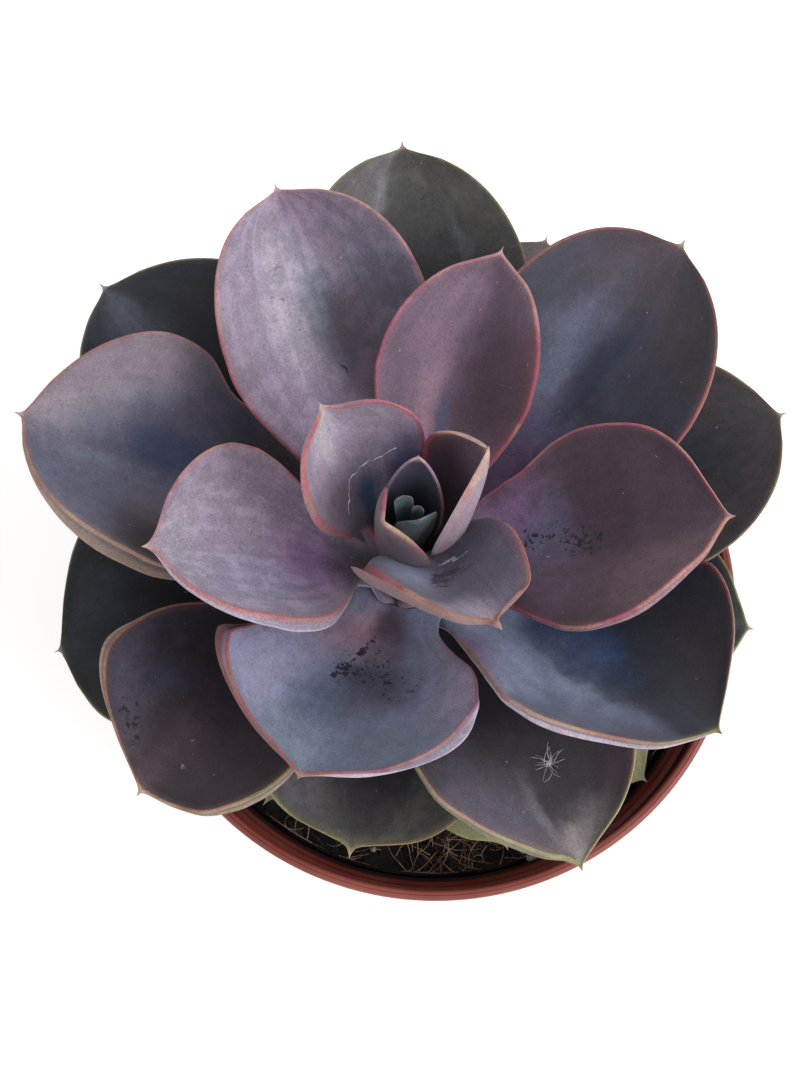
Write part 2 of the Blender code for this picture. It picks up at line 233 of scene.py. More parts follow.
leafShape = {
    "gap": 0.3, "plantX": -5.0, "stemRadius": 8.6, "stemShoulder": 112.0, "stemTop": 124.2, "root": 3.0,
    "bow": 0.38, "spineLength": 2.4, "spineRadius": 0.75, "spineBase": 1.7, "fullSpineWidth": 30.0,
    "topShare": 0.3, "widthFall": 2.2, "thickFall": 2.6, "thickPoint": 0.6, "tipThinning": 0.35,
    "rootThick": 0.55, "rootCup": 0.6, "thickBy": 0.35, "cupBy": 0.4, "turnBy": 0.3, "creaseRound": 0.03,
    "cadStations": 15, "cadCrowding": 1.55,  # where the CAD leaf has its sections
    "underFull": 0.62, "underFullOuter": 0.8, "outerFoot": 110.0,  # fullness near the rim, 1 for an ellipse
    "wallTurn": 0.35, "wallSquare": 1.2, "wallFull": 0.45, "wallReach": 2.0,  # the thick wall below a rim
    "sides": 88, "stations": 68, "tipCrowding": 1.35, "midribPoints": 60, "slopeStep": 0.01,
    "leastHalfWidth": 0.01, "rimLimits": (0.45, 2.6), "rimFrom": 0.02, "rimSamples": 260, "rimBatches": 16,
    "wave": 0.22, "waveSize": 13.0, "ripple": 0.05, "rippleSize": 3.5,  # relief on the skin
    "waveFoot": 0.3, "waveTip": 0.08, "waveAtRim": 0.35, "waveRim": 3.0,  # how it fades out
}

usualLeaf = {
    "cup": 40, "fold": 0.10, "roll": 0, "sway": 0, "veer": 0, "lean": 0,
    "neck": 0.24, "shoulder": 0.60, "point": 0.56, "thick": 4.2,
}

# azimuth, reach, tip height, foot height, width, rise at the foot and at the tip
leaves = {
    1: dict(at=(208, 4.8, 160, 123.6, 17, 80, 88), cup=57, neck=0.44, sway=-0.7, lean=-0.02, point=0.42,
            thick=2),
    2: dict(at=(81, 9.3, 160, 123.4, 12.2, 82, 82), cup=54, neck=0.4, point=0.52, thick=1.8),
    3: dict(at=(38, 16.9, 161, 122.5, 20.8, 64, 74), cup=66, roll=-30, neck=0.32, sway=-0.7, point=0.46,
            thick=2.6),
    4: dict(at=(130, 24, 161, 122.35, 27.8, 52, 56), cup=46, neck=0.28, sway=-0.5, shoulder=0.68,
            point=0.4, thick=3),
    5: dict(at=(306.5, 25.5, 158, 121.7, 30.6, 86, 18), cup=57, fold=0.14, roll=-19, sway=-2, neck=0.36,
            shoulder=0.62, point=0.4, thick=3.2),
    6: dict(at=(72, 55, 152, 120.8, 31.5, 28, 36), cup=38, sway=1.5),
    7: dict(at=(184, 46.5, 148, 120.6, 40, 28, 38), cup=42, roll=12, sway=-2.6, lean=0.06, neck=0.27),
    8: dict(at=(2, 56.5, 149, 118.9, 41, 24, 36), cup=38, sway=1.8, shoulder=0.57),
    9: dict(at=(246.5, 47, 146, 118.6, 51.5, 20, 42), cup=40, sway=-0.5, lean=0.03, neck=0.34,
            shoulder=0.55, point=0.42),
    10: dict(at=(110.5, 71.5, 149, 117.5, 44, 18, 32), cup=36, sway=-0.5, point=0.44),
    11: dict(at=(327.5, 64, 139, 116.2, 50.5, 18, 32), cup=42, roll=-13, sway=4.6, lean=0.04, neck=0.22,
             shoulder=0.54, point=0.5),
    12: dict(at=(48, 76.5, 146, 114.7, 46.5, 16, 30), cup=36, sway=-1.6, neck=0.23, point=0.46),
    13: dict(at=(161, 76.5, 140, 113.8, 50, 14, 28), cup=38, roll=5, sway=-3.1, lean=-0.01, shoulder=0.59,
             point=0.51),
    14: dict(at=(222.5, 65, 131, 111.5, 46.5, 12, 26), cup=35, neck=0.2, sway=-4.6, lean=-0.06,
             shoulder=0.74, point=0.42),
    15: dict(at=(299, 64, 121, 110.0, 43, 8, 14), cup=34, sway=4.4, neck=0.3, shoulder=0.48),
    16: dict(at=(91, 82, 139, 110.0, 47, 14, 28), cup=32, sway=-2.2, point=0.5),
    17: dict(at=(22.5, 78.5, 127, 107.8, 46, 8, 20), cup=28, sway=1.4),
    18: dict(at=(137, 83.3, 128, 106.8, 51, 6, 22), cup=26, sway=-2.2),
    19: dict(at=(192.5, 69, 117, 104.2, 50.5, 4, 18), cup=22, neck=0.22, sway=-7.4, shoulder=0.68,
             point=0.42),
    20: dict(at=(68.5, 77.5, 119, 103.8, 38, 2, 18), cup=18, fold=0.05),
    21: dict(at=(258, 54, 111, 102.8, 46, 5, 14), cup=26, neck=0.22, sway=-1, point=0.46),
    22: dict(at=(352, 67.5, 113, 102.0, 41, 2, 16), cup=18, sway=2.4),
    23: dict(at=(290.5, 54, 104, 100.0, 27, 0, 8), cup=16, thick=3.2),
    24: dict(at=(321.5, 59.5, 100.5, 96.3, 27, 0, 8), cup=18, thick=3.2),
    25: dict(at=(236, 50.5, 103, 98.3, 27, 0, 10), cup=18, thick=3.2),
}

# how far a rim lies outside its CAD line, in mm at shares of the leaf's length; left and right are
# as seen from the stem
rimShift = {
    3: {"left": ((0.5, 0.4), (0.8, 1.7), (0.92, 0.9))},
    4: {"left": ((0.1, -5.0), (0.2, -5.0), (0.3, -1.0), (0.45, -1.0), (0.7, -1.2)),
        "right": ((0.3, -0.8), (0.55, -0.6), (0.8, 0.4))},
    5: {"left": ((0.4, 0.6), (0.6, 0.4), (0.8, -0.6), (0.9, 0.4), (0.955, 5.4)),
        "right": ((0.12, -3.0), (0.24, -2.4), (0.38, -1.4), (0.5, -2.2), (0.7, -1.2), (0.85, -1.2))},
    6: {"right": ((0.5, -0.3), (0.8, -0.9))},
    7: {"left": ((0.02, -5.0), (0.07, -4.2), (0.13, -1.6), (0.2, 0.4), (0.36, 2.6), (0.5, -0.6),
                 (0.62, -2.4), (0.85, -1.8)),
        "right": ((0.45, -1.0), (0.7, 0.3), (0.88, 0.8))},
    8: {"left": ((0.16, 3.4), (0.25, 1.7), (0.34, -0.4), (0.45, -1.0), (0.66, -0.2), (0.88, 2.0)),
        "right": ((0.5, -0.4), (0.68, -1.8), (0.84, -4.4))},
    9: {"left": ((0.25, 2.6), (0.42, -0.8), (0.6, -3.2), (0.8, -3.2)),
        "right": ((0.35, -5.4), (0.5, -4.2), (0.66, -1.0))},
    10: {"left": ((0.5, -0.6), (0.75, -0.8)), "right": ((0.55, -1.2), (0.8, -0.5))},
    11: {"left": ((0.5, -6.0), (0.62, -4.5), (0.73, 0.2), (0.9, 2.0)),
         "right": ((0.3, 1.2), (0.55, 0.7), (0.8, -3.2))},
    12: {"right": ((0.5, 0.3), (0.8, 0.9))},
    13: {"left": ((0.5, -1.6), (0.68, -2.8), (0.9, -1.8)),
         "right": ((0.3, -3.0), (0.5, -7.0), (0.62, -2.4), (0.8, 0.4))},
    14: {"left": ((0.6, -1.6), (0.84, -4.8)), "right": ((0.5, -1.6), (0.68, -2.4), (0.86, -0.6))},
    15: {"left": ((0.7, 0.2), (0.9, 1.4)), "right": ((0.58, 1.6), (0.72, -1.2), (0.88, -4.0))},
    24: {"left": ((0.5, 3.0), (0.8, 2.4))},
}

# how far the thick underside stands out past the rim, given in the same way
lips = {
    1: {"left": ((0.4, 0.9), (0.7, 1.0)), "right": ((0.4, 0.5), (0.7, 0.5))},
    3: {"right": ((0.3, 1.0), (0.6, 2.2), (0.85, 1.2))},
    4: {"left": ((0.4, 0.8), (0.7, 0.8))},
    5: {"right": ((0.3, 1.0), (0.55, 2.2), (0.78, 1.2), (0.9, 0.5))},
    7: {"left": ((0.3, 1.0), (0.5, 2.0), (0.7, 1.3), (0.88, 0.7))},
    8: {"right": ((0.55, 0.3), (0.8, 0.9))},
    9: {"left": ((0.4, 0.3), (0.62, 1.8), (0.8, 2.1), (0.93, 1.0)),
        "right": ((0.4, 0.6), (0.65, 2.2), (0.85, 1.6))},
    11: {"right": ((0.45, 0.4), (0.7, 1.3), (0.88, 1.3))},
    13: {"left": ((0.4, 1.4), (0.68, 2.7), (0.88, 1.0))},
    14: {"left": ((0.6, 0.6), (0.84, 0.9)), "right": ((0.6, 0.4), (0.85, 1.3), (0.94, 0.9))},
    15: {"right": ((0.6, 0.4), (0.86, 1.2))},
}

# how far the upper face stands up past its CAD line, where a leaf hugs the one inside it
fills = {5: ((0.15, 3.0), (0.4, 4.6), (0.56, 2.6), (0.75, 0.3))}

# how much of its cup a side loses
opened = {5: {"left": ((0.5, 0.1), (0.8, 0.45), (0.94, 0.55))}}


def smooth(share):
    share = np.clip(share, 0, 1)
    return share * share * (3 - 2 * share)


def stemRadius(height):
    s = leafShape
    share = np.clip((height - s["stemShoulder"]) / (s["stemTop"] - s["stemShoulder"]), 0, 1)
    return s["stemRadius"] * np.sqrt(1 - share**2)


def leafMidrib(leaf):  # distance along the middle line, radius and height
    reach, tip, foot = leaf["at"][1:4]
    outward, home = (np.array([math.cos(rise), math.sin(rise)]) for rise in np.radians(leaf["at"][5:]))
    start = np.array([stemRadius(foot), foot])
    end = np.array([reach, tip])
    arm = leafShape["bow"] * np.linalg.norm(end - start)
    leave, arrive = start + arm * outward, end - arm * home
    t = np.linspace(0, 1, leafShape["midribPoints"])[:, None]
    curve = (1 - t) ** 3 * start + 3 * (1 - t) ** 2 * t * leave + 3 * (1 - t) * t**2 * arrive + t**3 * end
    root = start - leafShape["root"] * outward
    curve = np.vstack([root, curve])
    steps = np.linalg.norm(np.diff(curve, axis=0), axis=1)
    return np.concatenate([[0], np.cumsum(steps)]) - leafShape["root"], curve[:, 0], curve[:, 1]


def eased(x, xs, ys):  # a smooth line through the points that never overshoots them
    step = np.diff(xs)
    rate = np.diff(ys) / step
    before, after = 2 * step[1:] + step[:-1], step[1:] + 2 * step[:-1]
    level = rate[:-1] * rate[1:] <= 0
    safe = np.where(level, 1.0, rate[:-1]), np.where(level, 1.0, rate[1:])
    inner = np.where(level, 0.0, (before + after) / (before / safe[0] + after / safe[1]))
    slope = np.concatenate([[rate[0]], inner, [rate[-1]]])
    k = np.clip(np.searchsorted(xs, x) - 1, 0, len(xs) - 2)
    t = np.clip((x - xs[k]) / step[k], 0, 1)
    first = (2 * t**3 - 3 * t**2 + 1) * ys[k] + (t**3 - 2 * t**2 + t) * step[k] * slope[k]
    return first + (3 * t**2 - 2 * t**3) * ys[k + 1] + (t**3 - t**2) * step[k] * slope[k + 1]


def alongRim(points, share):  # a smooth line through a rim's values, nothing at the foot and the tip
    if not points:
        return 0.0 * share
    xs, ys = np.array([(0.0, 0.0), *points, (1.0, 0.0)]).T
    return eased(share, xs, ys)


def eachSide(table, share, across):
    return np.where(across > 0, alongRim(table.get("left"), share), alongRim(table.get("right"), share))


def leafHalfSizes(leaf, along, length):  # eased between the CAD leaf's sections
    s = leafShape
    share = np.linspace(0, 1, s["cadStations"])
    sections = -s["root"] + (1 - (1 - share) ** s["cadCrowding"]) * (length + s["root"])
    widths, thicks = sectionSizes(leaf, sections, length)
    return eased(along, sections, widths), eased(along, sections, thicks)


def sectionSizes(leaf, along, length):
    s = leafShape
    fullWidth = leaf["at"][4]
    scale = min(1.0, fullWidth / s["fullSpineWidth"])
    blade = length - s["spineLength"] * scale
    share = np.clip(along / blade, 0, 1)
    swell = leaf["neck"] + (1 - leaf["neck"]) * smooth(share / leaf["shoulder"])
    drop = np.clip((share - leaf["shoulder"]) / (1 - leaf["shoulder"]), 0, 1)
    width = fullWidth / 2 * swell * (1 - drop ** s["widthFall"]) ** leaf["point"]
    body = s["rootThick"] + (1 - s["rootThick"]) * smooth(share / s["thickBy"])
    thick = leaf["thick"] / 2 * body * (1 - s["tipThinning"] * share)
    thick = thick * (1 - drop ** s["thickFall"]) ** s["thickPoint"]
    spine = np.clip((length - along) / (s["spineBase"] * s["spineLength"] * scale), 0, 1)
    spine = s["spineRadius"] * scale * spine
    return np.cbrt(width**3 + spine**3), np.cbrt(thick**3 + spine**3)


def leafSection(leaf, along, length, turn):  # how far beside and above the midrib the skin lies
    s = leafShape
    halfWidth, halfThick = leafHalfSizes(leaf, along, length)
    halfWidth = np.maximum(halfWidth, s["leastHalfWidth"])
    share = np.clip(along / length, 0, 1)
    across = np.cos(turn)
    upper = np.sin(turn) > 0
    lip = eachSide(leaf.get("lip", {}), share, across)
    rim = 1 + eachSide(leaf.get("shift", {}), share, across) / halfWidth
    rim = np.clip(rim, *s["rimLimits"])
    wall = smooth(-np.sin(turn) / s["wallTurn"])
    square = np.sign(across) * np.abs(across) ** (1 / (1 + s["wallSquare"] * lip))
    reach = np.where(upper, across * rim, across * rim * (1 - wall) + square * (rim + lip / halfWidth) * wall)
    arc = math.radians(leaf["cup"]) * (s["rootCup"] + (1 - s["rootCup"]) * smooth(share / s["cupBy"]))
    arc = arc * (1 - eachSide(leaf.get("open", {}), share, across))
    bend = halfWidth * (1 + leaf["lean"] * across) / arc
    side = bend * np.sin(arc * reach)
    lift = bend * (1 - np.cos(arc * reach))
    crease = np.sqrt(reach**2 + s["creaseRound"]) - math.sqrt(s["creaseRound"])
    lift = lift + leaf["fold"] * halfWidth * crease * smooth(share / s["turnBy"])
    full = s["underFullOuter"] if leaf["at"][3] < s["outerFoot"] else s["underFull"]
    full = full * (1 - s["wallFull"] * np.minimum(1, lip / s["wallReach"]))
    bulge = np.sign(np.sin(turn)) * np.abs(np.sin(turn)) ** np.where(upper, 1.0, full)
    depth = bulge * halfThick * np.where(upper, 2 * s["topShare"], 2 - 2 * s["topShare"])
    depth = depth + alongRim(leaf.get("fill"), share) * np.sqrt(np.clip(bulge, 0, 1))
    side = side - depth * np.sin(arc * reach)
    lift = lift + depth * np.cos(arc * reach)
    roll = math.radians(leaf["roll"]) * smooth(share / s["turnBy"])
    side, lift = side * np.cos(roll) - lift * np.sin(roll), side * np.sin(roll) + lift * np.cos(roll)
    return side + leaf["sway"] * np.sin(np.pi * share) + leaf["veer"] * share, lift


def leafPoints(leaf, station, turn):  # station 0 at the root and 1 at the tip, turn round the section
    s = leafShape
    line, radii, heights = leafMidrib(leaf)
    length = line[-1]
    along = -s["root"] + station * (length + s["root"])
    step = s["slopeStep"] * length
    radius, height = np.interp(along, line, radii), np.interp(along, line, heights)
    run = np.interp(along + step, line, radii) - np.interp(along - step, line, radii)
    climb = np.interp(along + step, line, heights) - np.interp(along - step, line, heights)
    slope = np.arctan2(climb, run)
    side, lift = leafSection(leaf, along, length, turn)
    out = radius - lift * np.sin(slope)
    up = height + lift * np.cos(slope)
    azimuth = math.radians(leaf["at"][0])
    x = s["plantX"] + out * math.cos(azimuth) - side * math.sin(azimuth)
    y = out * math.sin(azimuth) + side * math.cos(azimuth)
    return np.stack([x, y, up], axis=-1)


def rimDistance(leaf, points):
    s = leafShape
    station = np.linspace(s["rimFrom"], 1, s["rimSamples"])
    rim = np.vstack([leafPoints(leaf, station, np.full(len(station), turn)) for turn in (0.0, math.pi)])
    nearest = []
    for some in np.array_split(points, s["rimBatches"]):
        nearest.append(np.sqrt(((rim[None] - some[:, None]) ** 2).sum(axis=2).min(axis=1)))
    return np.concatenate(nearest)


def addLayers(bm):  # where a point lies on its leaf, and how near its rim and tip are
    layers = bm.verts.layers
    return layers.float_vector.new("leafPlace"), layers.float.new("rimNear"), layers.float.new("tipNear")


def leafBmesh(leaf, sides, stations, wave=1.0):
    s = leafShape
    bm = bmesh.new()
    bmesh.ops.create_uvsphere(bm, u_segments=sides, v_segments=stations, radius=1.0)
    ball = np.array([vert.co for vert in bm.verts])
    ring = np.round(np.arccos(np.clip(-ball[:, 2], -1, 1)) / math.pi * stations)
    share = np.clip((ring - 1) / (stations - 1), 0, 1)
    station = 1 - (1 - share) ** s["tipCrowding"]
    turn = np.arctan2(ball[:, 1], ball[:, 0])
    points = leafPoints(leaf, station, turn)
    middle = leafPoints(leaf, np.zeros(2), np.array([0.5, -0.5]) * math.pi).mean(axis=0)
    points[ring == 0] = middle
    near = rimDistance(leaf, points)
    tip = np.sqrt(((points - points[ring == stations].mean(axis=0)) ** 2).sum(axis=1))
    place, rimNear, tipNear = addLayers(bm)
    for index, vert in enumerate(bm.verts):
        vert.co = points[index]
        vert[place] = (math.cos(turn[index]), station[index], math.sin(turn[index]))
        vert[rimNear] = near[index] * mm
        vert[tipNear] = tip[index] * mm
    bmesh.ops.recalc_face_normals(bm, faces=bm.faces)
    bm.normal_update()
    # a soft swell over the skin, fading out at the foot and the tip and weaker at the rim
    hold = smooth(station / s["waveFoot"]) * smooth((1 - station) / s["waveTip"])
    hold = hold * (s["waveAtRim"] + (1 - s["waveAtRim"]) * smooth(near / s["waveRim"]))
    for index, vert in enumerate(bm.verts):
        swell = s["wave"] * noise.noise(vert.co / s["waveSize"])
        swell += s["ripple"] * noise.noise(vert.co / s["rippleSize"])
        vert.co += vert.normal * swell * float(hold[index]) * wave
    return toMetres(bm)


# leaf finish: soft patches of colour over a base, scuffs in the wax, then one group for the waxy skin
# noise settings are scale, detail and roughness; ranges run from none to all, or from all to none

skin = {
    "laneScale": (7.0, 1.1, 3.7), "streaks": (1.4, 4.0, 0.55),
    "cloud": (80.0, 2.0, 0.5), "cloudWander": 0.5, "ripple": (420.0, 3.0, 0.6), "rippleWander": 0.14,
    "patchEdge": (0.15, 1.25), "scuffZone": (0.1, 1.1), "scuffs": (1.0, 3.0, 0.65),
    "scuffStart": 0.80, "scuffGain": 0.27, "scuffEdge": 0.04, "scuffInk": 0.85, "upperSide": (0.0, 0.1),
    "patch": (230.0, 5.0, 0.62), "middling": (700.0, 3.0, 0.6), "fine": (2500.0, 3.0, 0.75),
    "leftSide": (-0.25, 0.25), "underSide": (-0.16, -0.02), "underStain": (0.50, 0.62), "underStained": 0.35,
    "rimWander": 0.6, "rimTip": (0.70, 1.0), "rimBlotch": (95.0, 3.0), "rimBlotches": (0.5, 0.58),
    "rimFoot": (0.07, 0.26), "halo": (0.9, 4.5), "rimLine": (0.7, 1.35), "rimInk": 0.88,
    "spine": (0.0010, 0.0024), "spineInk": 0.6, "deepen": 1.2,
    "streakLight": 0.3, "bloomStreaks": 0.5, "bloomFrom": (0.46, 0.62), "bloomMiddle": 0.4,
    "middlingLight": 0.9, "fineLight": 1.35,
    "prick": (1250.0, 1.0), "pricks": (0.70, 0.75), "dust": (1300.0, 1.0), "dustSpecks": (0.79, 0.81),
    "dustInk": 0.4, "dustShift": (0.31, 0.17, 0.05), "roughness": 0.56, "roughChange": 0.3,
    "specular": 0.35, "sheen": 0.1, "sheenRoughness": 0.45, "bump": (0.4, 0.00012),
}

placeLabels = ("Across", "Along", "Side", "Streaks")
zoneLabels = ("Middle Across", "Middle Along", "Wide", "Long", "Amount", "Slant")
rimLabels = ("Rim Left", "Rim Right", "Rim Tip", "Rim Patch")
underLabels = ("Under Left", "Under Right")


def makeSkinPlace():  # where a point lies on the leaf, wandering a little so that no patch has a ruled edge
    inputs = [("Place", "v"), ("Body", "v"), ("Seed", "f")]
    tree, source, result = newGroup("skinPlace", inputs, [(name, "f") for name in placeLabels])
    across, along, side = addNode(tree, "SeparateXYZ", source["Place"]).outputs
    ways = (across, along, source["Seed"])
    spread = [times(tree, way, scale) for way, scale in zip(ways, skin["laneScale"])]
    lanes = addNode(tree, "CombineXYZ", *spread).outputs[0]
    cloud = aboutZero(tree, grain(tree, source["Body"], *skin["cloud"]), skin["cloudWander"])
    ripple = aboutZero(tree, grain(tree, source["Body"], *skin["ripple"]), skin["rippleWander"])
    wander = plus(tree, cloud, ripple)
    feed(tree, result["Across"], plus(tree, across, wander))
    feed(tree, result["Along"], plus(tree, along, times(tree, wander, 0.5)))
    feed(tree, result["Side"], side)
    feed(tree, result["Streaks"], grain(tree, lanes, *skin["streaks"]))
    return tree


def zoneShare(tree, source, edge):  # 1 in the middle of an oval on the leaf and 0 outside it
    up = minus(tree, source["Along"], source["Middle Along"])
    off = minus(tree, source["Across"], source["Middle Across"])
    off = minus(tree, off, times(tree, up, source["Slant"]))
    shares = [calc(tree, "DIVIDE", way, source[size]) for way, size in ((off, "Wide"), (up, "Long"))]
    squares = [calc(tree, "POWER", calc(tree, "ABSOLUTE", share), 2.0) for share in shares]
    return fall(tree, calc(tree, "SQRT", plus(tree, *squares)), *edge)


def makeSoftPatch():
    inputs = [("Color", "c"), ("Patch", "c")] + [(name, "f") for name in ("Across", "Along", *zoneLabels)]
    tree, source, result = newGroup("softPatch", inputs, [("Color", "c")])
    share = times(tree, zoneShare(tree, source, skin["patchEdge"]), source["Amount"])
    feed(tree, result["Color"], tint(tree, share, source["Color"], source["Patch"]))
    return tree


def makeScuffs():  # flakes and scratches in the wax, inside an oval of their own
    inputs = [("Color", "c"), ("Mark", "c"), ("Grain Place", "v")]
    inputs += [(name, "f") for name in ("Across", "Along", "Side", *zoneLabels)]
    tree, source, result = newGroup("waxScuffs", inputs, [("Color", "c")])
    zone = zoneShare(tree, source, skin["scuffZone"])
    zone = times(tree, zone, rise(tree, source["Side"], *skin["upperSide"]))
    marks = grain(tree, source["Grain Place"], *skin["scuffs"])
    wear = times(tree, zone, times(tree, source["Amount"], skin["scuffGain"]))
    start = minus(tree, skin["scuffStart"], wear)
    marks = rise(tree, marks, start, plus(tree, start, skin["scuffEdge"]))
    marks = times(tree, marks, skin["scuffInk"])
    feed(tree, result["Color"], tint(tree, marks, source["Color"], source["Mark"]))
    return tree


def makeLeafSkin():
    inputs = [("Color", "c"), ("Body", "v")]
    inputs += [(name, "f") for name in (*placeLabels, "Rim Near", "Tip Near")]
    inputs += [(name, "c") for name in (*underLabels, *rimLabels, "Spine")]
    inputs += [(name, "f") for name in ("Tone", "Rim Width", "Patchy", "Halo", "Bloom", "Mottle", "Pricks")]
    tree, source, result = newGroup("leafSkin", inputs, [("Color", "c"), ("Roughness", "f"), ("Height", "f")])
    body, along, side, streaks = (source[name] for name in ("Body", "Along", "Side", "Streaks"))
    patch, middling, fine = (grain(tree, body, *skin[name]) for name in ("patch", "middling", "fine"))

    # underside
    left = rise(tree, source["Across"], *skin["leftSide"])
    under = tint(tree, left, source["Under Right"], source["Under Left"])
    stain = times(tree, rise(tree, patch, *skin["underStain"]), skin["underStained"])
    under = tint(tree, stain, under, paint("underBrown"))
    colour = tint(tree, fall(tree, side, *skin["underSide"]), source["Color"], under)

    # rim: a thin coloured edge with a soft halo inside it, both fading towards the foot
    near = calc(tree, "DIVIDE", source["Rim Near"], source["Rim Width"])
    near = plus(tree, near, aboutZero(tree, middling, skin["rimWander"]))
    rim = tint(tree, left, source["Rim Right"], source["Rim Left"])
    tipward = rise(tree, plus(tree, along, aboutZero(tree, patch, 0.5)), *skin["rimTip"])
    rim = tint(tree, tipward, rim, source["Rim Tip"])
    blotch = rise(tree, grain(tree, body, *skin["rimBlotch"]), *skin["rimBlotches"])
    rim = tint(tree, times(tree, blotch, source["Patchy"]), rim, source["Rim Patch"])
    hold = rise(tree, along, *skin["rimFoot"])
    for reach, ink in (("halo", source["Halo"]), ("rimLine", skin["rimInk"])):
        share = times(tree, times(tree, fall(tree, near, *skin[reach]), ink), hold)
        colour = tint(tree, share, colour, rim)
    spine = times(tree, fall(tree, source["Tip Near"], *skin["spine"]), skin["spineInk"])
    colour = tint(tree, spine, colour, source["Spine"])
    colour = addNode(tree, "Gamma", colour, skin["deepen"]).outputs[0]

    # light and dark through the skin, with the bloom thicker in patches and rubbed off in others
    bloom = rise(tree, plus(tree, patch, aboutZero(tree, streaks, skin["bloomStreaks"])), *skin["bloomFrom"])
    light = plus(tree, 1.0, aboutZero(tree, streaks, skin["streakLight"]))
    light = plus(tree, light, times(tree, minus(tree, bloom, skin["bloomMiddle"]), source["Bloom"]))
    light = plus(tree, light, aboutZero(tree, patch, source["Mottle"]))
    light = plus(tree, light, aboutZero(tree, middling, times(tree, source["Mottle"], skin["middlingLight"])))
    light = plus(tree, light, aboutZero(tree, fine, skin["fineLight"]))
    colour = brighter(tree, colour, times(tree, light, source["Tone"]))

    # pin pricks and specks of dust
    pricks = rise(tree, grain(tree, body, *skin["prick"]), *skin["pricks"])
    pricks = times(tree, times(tree, pricks, source["Pricks"]), rise(tree, side, *skin["upperSide"]))
    colour = tint(tree, pricks, colour, paint("speck"))
    elsewhere = addNode(tree, "VectorMath", body, skin["dustShift"]).outputs[0]
    dust = rise(tree, grain(tree, elsewhere, *skin["dust"]), *skin["dustSpecks"])
    colour = tint(tree, times(tree, dust, skin["dustInk"]), colour, paint("bloom"))

    feed(tree, result["Color"], colour)
    roughness = plus(tree, skin["roughness"], aboutZero(tree, middling, skin["roughChange"]))
    feed(tree, result["Roughness"], roughness)
    height = plus(tree, times(tree, fine, 0.5), times(tree, middling, 0.7))
    feed(tree, result["Height"], minus(tree, height, times(tree, pricks, 0.4)))
    return tree


skinPlace, softPatch, waxScuffs, leafSkin = makeSkinPlace(), makeSoftPatch(), makeScuffs(), makeLeafSkin()

usualLook = {
    "Tone": 1.09, "Rim Width": 0.00042, "Patchy": 0.5, "Halo": 0.18, "Bloom": 0.08, "Mottle": 0.35,
    "Pricks": 0.4, "Spine": "cream",
}

# the four leaf finishes; rims are left, right, tip and blotches, and under is left and right,
# as seen from the stem
finishes = {
    "leaf_inner": {"rims": ("rimRose", "rimRose", "rimPink", "rimTan"), "under": ("underPink", "underPink")},
    "leaf_middle": {"rims": ("rimDusty", "rimDusty", "rimTan", "rimBrown"),
        "under": ("underPale", "underPink")},
    "leaf_outer": {"rims": ("rimOlive", "rimOlive", "rimOlive", "rimBrown"),
        "under": ("underGreen", "underGreen"), "Rim Width": 0.00034, "Halo": 0.14, "Mottle": 0.55,
        "Bloom": 0.16},
    "leaf_low": {"rims": ("rimGreen", "rimGreen", "rimGreen", "rimTan"),
        "under": ("paleOlive", "paleOlive"), "Halo": 0.4},
}

